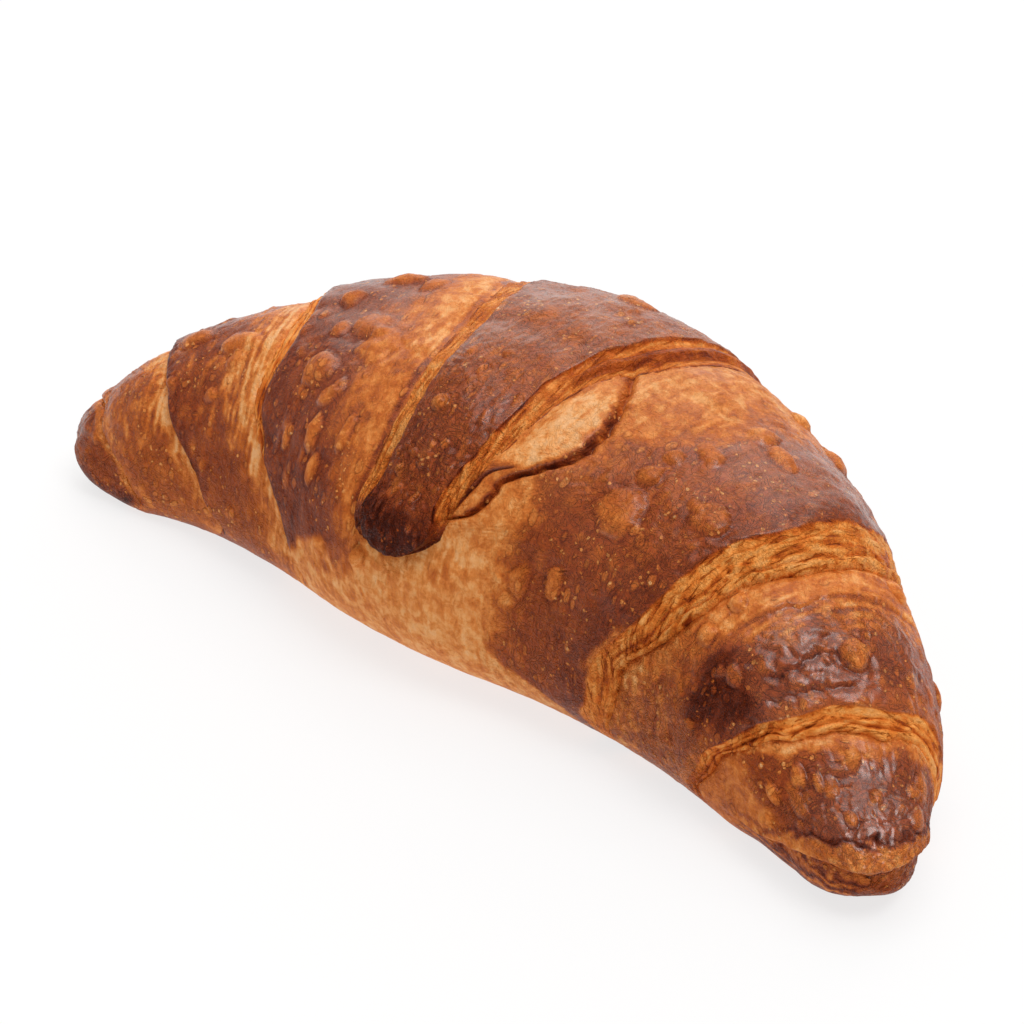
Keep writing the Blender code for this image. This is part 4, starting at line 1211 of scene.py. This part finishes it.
def croissant_pieces():
    """All the layers of the croissant."""
    angle = angles_round()
    left = ("left_second", "left_third", "left_tip")
    right = ("right_second", "right_third")

    def even(amount):
        return lambda along, angle: np.full_like(along, amount)

    def band_wrinkles(along, angle):
        turned = round_angle(angle)
        low_side = 0.75 * ease(46.0, 30.0, turned) * ease(0.80, 0.76, along)
        inside = 0.8 * within(0.74, 0.79, 0.86, 0.91, along)
        return 0.15 + low_side + inside * within(12.0, 30.0, 120.0, 150.0, turned)

    def nose_wrinkles(along, angle):
        return 0.2 + 0.65 * ease(0.95, 1.0, along) * ease(10.0, 30.0, round_angle(angle))

    def middle_wrinkles(along, angle):
        near = ease(14.0, 2.0, -out_from("right_second", along, angle))
        return 0.15 + 0.25 * near + 0.25 * ease(0.15, 0.22, along)

    # Of each outer layer: the edges it lies under, its cells, its end, its baking and its wrinkles.
    band = brown_collar(left[0], left[1], (3.0, 0.24), (7.5, 0.42), 0.73)
    collar = brown_collar(left[1], left[2], (2.4, 0.20), (5.0, 0.46), 0.62)
    outer = (
        ("crust_left_band", left[:1], 60, left[1], band, even(0.2)),
        ("crust_left_collar", left[:2], 36, left[2], collar, even(0.2)),
        ("crust_left_nose", left, 26, TIP_LEFT, brown_left_nose, even(0.4)),
        ("crust_right_band", right[:1], 64, right[1], brown_right_band, band_wrinkles),
        ("crust_right_nose", right, 70, TIP_RIGHT, brown_right_nose, nose_wrinkles),
    )
    pieces = [layer_piece("crust_middle", middle_shell(angle), brown_middle, middle_wrinkles)]
    for name, under, cells, end, brown_of, wrinkled_of in outer:
        pieces.append(layer_piece(name, outer_shell(angle, under, cells, end), brown_of, wrinkled_of))
    return pieces + [flap_piece("crust_flap")]


# Materials.


class Signal:
    """One output of a material's nodes. Arithmetic on it adds Math nodes."""

    def __init__(self, recipe, socket):
        self.recipe = recipe
        self.socket = socket

    def _math(self, operation, first, second):
        return self.recipe.node("ShaderNodeMath", {"operation": operation}, {0: first, 1: second})

    def __add__(self, other):
        return self._math("ADD", self, other)

    def __sub__(self, other):
        return self._math("SUBTRACT", self, other)

    def __rsub__(self, other):
        return self._math("SUBTRACT", other, self)

    def __mul__(self, other):
        return self._math("MULTIPLY", self, other)

    def __abs__(self):
        return self._math("ABSOLUTE", self, 0.0)

    __radd__ = __add__
    __rmul__ = __mul__


class Recipe:
    """A material and the one way to add a node to it."""

    def __init__(self, name):
        self.material = bpy.data.materials.new(name)
        self.material.use_nodes = True
        self.tree = self.material.node_tree
        self.surface = self.tree.nodes["Principled BSDF"]

    def node(self, kind, settings=None, inputs=None, output=0):
        made = self.tree.nodes.new(kind)
        for key, value in (settings or {}).items():
            if key == "stops":
                ramp = made.color_ramp
                while len(ramp.elements) < len(value):
                    ramp.elements.new(1.0)
                for element, (at, colour) in zip(ramp.elements, value):
                    element.position = at
                    element.color = (*colour, 1.0)
            else:
                setattr(made, key, value)
        for key, value in (inputs or {}).items():
            self.feed(made.inputs[key], value)
        return Signal(self, made.outputs[output])

    def feed(self, socket, value):
        if isinstance(value, Signal):
            self.tree.links.new(value.socket, socket)
        else:
            socket.default_value = value

    def finished(self, inputs):
        """The material, once its shader's own sockets have got their signals and fixed values."""
        for name, value in inputs.items():
            self.feed(self.surface.inputs[name], value)
        return self.material

    def noise(self, place, scale, detail=3.0, roughness=0.6, distortion=0.0):
        """Fine noise round zero."""
        inputs = {"Vector": place, "Scale": scale, "Detail": detail, "Roughness": roughness}
        inputs["Distortion"] = distortion
        return self.node("ShaderNodeTexNoise", {}, inputs) - 0.5

    def span(self, value, low, high, start=0.0, stop=1.0):
        """value taken from low..high to start..stop, held at the ends."""
        inputs = {0: value, 1: low, 2: high, 3: start, 4: stop}
        return self.node("ShaderNodeMapRange", {"clamp": True}, inputs)

    def curls(self, place, scale, distortion, width):
        """Curling lines, where noise crosses its middle."""
        return self.span(abs(self.noise(place, scale, 2.0, 0.5, distortion)), 0.0, width, 1.0, 0.0)

    def attribute(self, name, output):
        return self.node("ShaderNodeAttribute", {"attribute_name": name}, {}, output)

    def scaled(self, place, factors):
        """Coordinates or a colour, each part of them times its own factor."""
        return self.node("ShaderNodeVectorMath", {"operation": "MULTIPLY"}, {0: place, 1: factors})

    def spots(self, place, scale, largest, chance, uneven):
        """Scattered round spots of many sizes, and the rims round them."""
        away = self.node("ShaderNodeTexVoronoi", {}, {"Vector": place, "Scale": scale}, "Distance")
        lots = Signal(self, away.socket.node.outputs["Color"])
        size = self.node("ShaderNodeSeparateColor", {}, {"Color": lots}, 0)
        lot = self.node("ShaderNodeSeparateColor", {}, {"Color": lots}, 1)
        radius = size * (largest - SPOT_SMALLEST) + SPOT_SMALLEST
        there = self.span(lot, chance, chance - SPOT_EDGE)
        away = away + uneven * 0.5
        spot = self.span(away, radius, radius - SPOT_SOFTNESS)
        rim = self.span(away, radius + SPOT_SOFTNESS, radius + SPOT_EDGE) - spot
        return spot * there, rim * there


# The crust's colours from pale dough to burnt.
BAKED_COLOURS = (
    (0.00, (0.98, 0.51, 0.22)),
    (0.14, (0.95, 0.42, 0.135)),
    (0.28, (0.83, 0.275, 0.060)),
    (0.42, (0.66, 0.172, 0.028)),
    (0.56, (0.50, 0.110, 0.017)),
    (0.70, (0.36, 0.066, 0.012)),
    (0.84, (0.21, 0.032, 0.007)),
    (1.00, (0.070, 0.010, 0.004)),
)
# What the torn leaves inside the cuts take away from those colours.
LEAF_TINT = (1.0, 0.86, 0.60)
CRUST_SHINE = {"Coat Roughness": 0.26, "Specular IOR Level": 0.08}
BUMP_REACH = 0.0007
# The smallest spot's radius, how softly spots end, and their narrowest step, as shares of their cells.
SPOT_SMALLEST = 0.12
SPOT_SOFTNESS = 0.12
SPOT_EDGE = 0.02
FLOOR_LOOKS = {
    "Base Color": (0.24, 0.238, 0.238, 1.0),
    "Roughness": 1.0,
    "Specular IOR Level": 0.0,
    "Emission Color": (1.0, 1.0, 1.0, 1.0),
    "Emission Strength": 0.75,
}


def crust_material():
    """Baked crust: colour by how far it is baked, duller where pale and glossier where dark."""
    crust = Recipe("baked_crust")
    place = crust.node("ShaderNodeTexCoord", {}, {}, "Object")
    rolled = crust.attribute("rolled", "Vector")
    browning = crust.attribute("browning", "Fac")
    wrinkled = crust.attribute("wrinkled", "Fac")
    leafy = crust.attribute("leafy", "Fac")
    skin = 1.0 - leafy
    dark = crust.span(browning, 0.42, 0.62) * skin
    pale = crust.span(browning, 0.45, 0.25) * skin
    golden = crust.span(browning, 0.26, 0.42) * skin
    fine = crust.noise(place, 1500.0, 3.0)
    patchy = crust.noise(place, 430.0, 5.0, 0.62, 0.6)
    stretched = crust.scaled(rolled, (1.3, 0.2, 1.0))
    streaks = crust.noise(stretched, 1.0, 4.0)
    # Curling wrinkles of the skin, a few tenths of a millimetre wide. On dark skin their lines are also
    # painted lighter, as painted glints.
    folds = crust.curls(place, 380.0, 2.4, 0.07)
    creases = crust.curls(place, 800.0, 1.4, 0.08)
    # Light stretch marks where the dough is pale.
    marks = {"Vector": rolled, "Rotation": (0.0, 0.0, 0.68), "Scale": (1.8, 5.0, 1.0)}
    marks = crust.node("ShaderNodeMapping", {"vector_type": "TEXTURE"}, marks)
    marks = crust.curls(marks, 1.0, 1.6, 0.05)
    # Small blisters, and clusters of blisters as small as pinheads.
    spots, rims = crust.spots(crust.scaled(rolled, (0.52, 0.34, 0.52)), 1.0, 0.44, 0.8, patchy)
    # Webbing between the light cells of pale dough.
    cells = crust.scaled(rolled, (0.75, 0.55, 0.75))
    cells = crust.node("ShaderNodeTexVoronoi", {}, {"Vector": cells, "Scale": 1.0}, "Distance")
    web = crust.span(cells + patchy * 0.8, 0.28, 0.55)
    clusters = crust.span(crust.noise(place, 170.0, 2.0), -0.04, 0.05) * dark
    pinheads, _ = crust.spots(place, 950.0, 0.38, 0.88, fine * 1.6)
    pinheads = pinheads * clusters
    # Holes and fibres of the torn edges; the holes are also painted darker, as painted shade.
    torn = crust.noise(crust.scaled(rolled, (1.5, 0.22, 1.0)), 1.0, 4.0, 0.55, 0.5)
    holes = crust.span(torn, -0.09, -0.14) * leafy * leafy
    value = browning + patchy * (0.38 - dark * 0.20) + fine * 0.24
    value = value + crust.span(patchy, -0.05, 0.05, -0.03, 0.03) * (1.0 - dark)
    value = value + streaks * (0.25 - pale * 0.15) + web * pale * 0.07
    # Spots are paler, with painted shade in the rims round them.
    value = value - spots * (golden * 0.08 + clusters * 0.14) + rims * golden * 0.07 - pinheads * 0.42
    # Painted glints on the curl lines of dark skin, and painted shade in the holes of torn edges.
    value = value - folds * dark * 0.08 - marks * pale * 0.07 - torn * leafy * 0.36 + holes * 0.20
    colour = crust.node("ShaderNodeValToRGB", {"stops": BAKED_COLOURS}, {"Fac": value})
    shares = {0: leafy, 6: colour, 7: crust.scaled(colour, LEAF_TINT)}
    colour = crust.node("ShaderNodeMix", {"data_type": "RGBA"}, shares, 2)
    dull = crust.span(value, 0.25, 0.65, 0.55, 0.36) + patchy * 0.2 - wrinkled * 0.06
    sheen = crust.span(crust.noise(place, 60.0, 2.0), -0.08, 0.12, 0.5, 1.2)
    glazed = (dark * 0.52 + wrinkled * 0.18 + 0.34) * sheen * crust.span(browning, 0.95, 0.80, 0.05, 1.0)
    glazed = glazed * crust.attribute("glossy", "Fac")
    height = crust.noise(place, 800.0, 3.0, 0.6) * 0.6
    height = height + folds * (dark * 0.22 + wrinkled * 0.30) + creases * (0.06 + wrinkled * 0.16)
    height = height + spots * golden * 0.45 + pinheads * 0.35 + marks * pale * 0.05
    height = height + crust.noise(stretched, 2.2, 3.0) * 0.3 + torn * leafy * 0.55 - holes * 0.4
    relief = {"Strength": 1.0, "Distance": BUMP_REACH, "Height": height}
    bump = crust.node("ShaderNodeBump", {}, relief, "Normal")
    varying = {"Base Color": colour, "Roughness": dull, "Coat Weight": glazed * skin, "Normal": bump}
    return crust.finished(varying | CRUST_SHINE)


# The stage: floor, light and camera.

CAMERA_AZIMUTH = math.radians(41.923)
CAMERA_ELEVATION = math.radians(34.0)
CAMERA_DISTANCE = 0.56
CAMERA_TARGET = Vector((-0.006368, -0.006384, 0.018667))
CAMERA_LENS = 123.35
SENSOR_WIDTH = 36.0
CLIP_START = 0.01
# Lamps: energy, colour, spread in degrees, and how far right, away from the camera and up they stand.
LAMPS = (
    ("key", 1.37, (1.0, 1.0, 1.0), 62.0, 0.12, 0.0, 1.0),
    ("spark", 0.75, (1.0, 1.0, 1.0), 24.0, 0.35, -0.35, 1.0),
    ("rim", 0.85, (1.0, 0.94, 0.87), 60.0, 0.10, 1.0, 0.55),
)
WORLD_COLOUR = (1.0, 0.99, 0.985, 1.0)
WORLD_STRENGTH = 0.33
FLOOR_HALF = 1.5


def add_camera():
    sine, cosine = math.sin(CAMERA_AZIMUTH), math.cos(CAMERA_AZIMUTH)
    level_share = math.cos(CAMERA_ELEVATION)
    back = Vector((sine * level_share, -cosine * level_share, math.sin(CAMERA_ELEVATION)))
    right = Vector((cosine, sine, 0.0))
    up = back.cross(right)
    lens = bpy.data.cameras.new("camera")
    lens.lens = CAMERA_LENS
    lens.sensor_width = SENSOR_WIDTH
    lens.clip_start = CLIP_START
    camera = placed("camera", lens)
    turn = Matrix((right, up, back)).transposed().to_4x4()
    camera.matrix_world = Matrix.Translation(CAMERA_TARGET + back * CAMERA_DISTANCE) @ turn
    bpy.context.scene.camera = camera
    return right, back


def add_light(right, back):
    """Even white surroundings, and the lamps, turned with the camera."""
    world = bpy.data.worlds.new("studio")
    bpy.context.scene.world = world
    world.use_nodes = True
    sky = world.node_tree.nodes["Background"].inputs
    sky["Color"].default_value = WORLD_COLOUR
    sky["Strength"].default_value = WORLD_STRENGTH
    away = Vector((-back.x, -back.y, 0.0)).normalized()
    for name, energy, colour, spread, sideways, backwards, upwards in LAMPS:
        light = bpy.data.lights.new(name, "SUN")
        light.energy = energy
        light.color = colour
        light.angle = math.radians(spread)
        towards = sideways * right + backwards * away + Vector((0.0, 0.0, upwards))
        placed(name, light).rotation_euler = towards.to_track_quat("Z", "Y").to_euler()


def add_floor():
    mesh = bpy.data.meshes.new("floor")
    corners = [(x * FLOOR_HALF, y * FLOOR_HALF, 0.0) for x, y in ((-1, -1), (1, -1), (1, 1), (-1, 1))]
    mesh.from_pydata(corners, [], [(0, 1, 2, 3)])
    mesh.materials.append(Recipe("pale_floor").finished(FLOOR_LOOKS))
    floor = placed("floor", mesh)


bpy.context.scene.view_settings.view_transform = "Standard"
CRUST = crust_material()
for piece in croissant_pieces():
    piece.data.materials.append(CRUST)
    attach(piece, "root")
    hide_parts("croissant")
add_floor()
add_light(*add_camera())
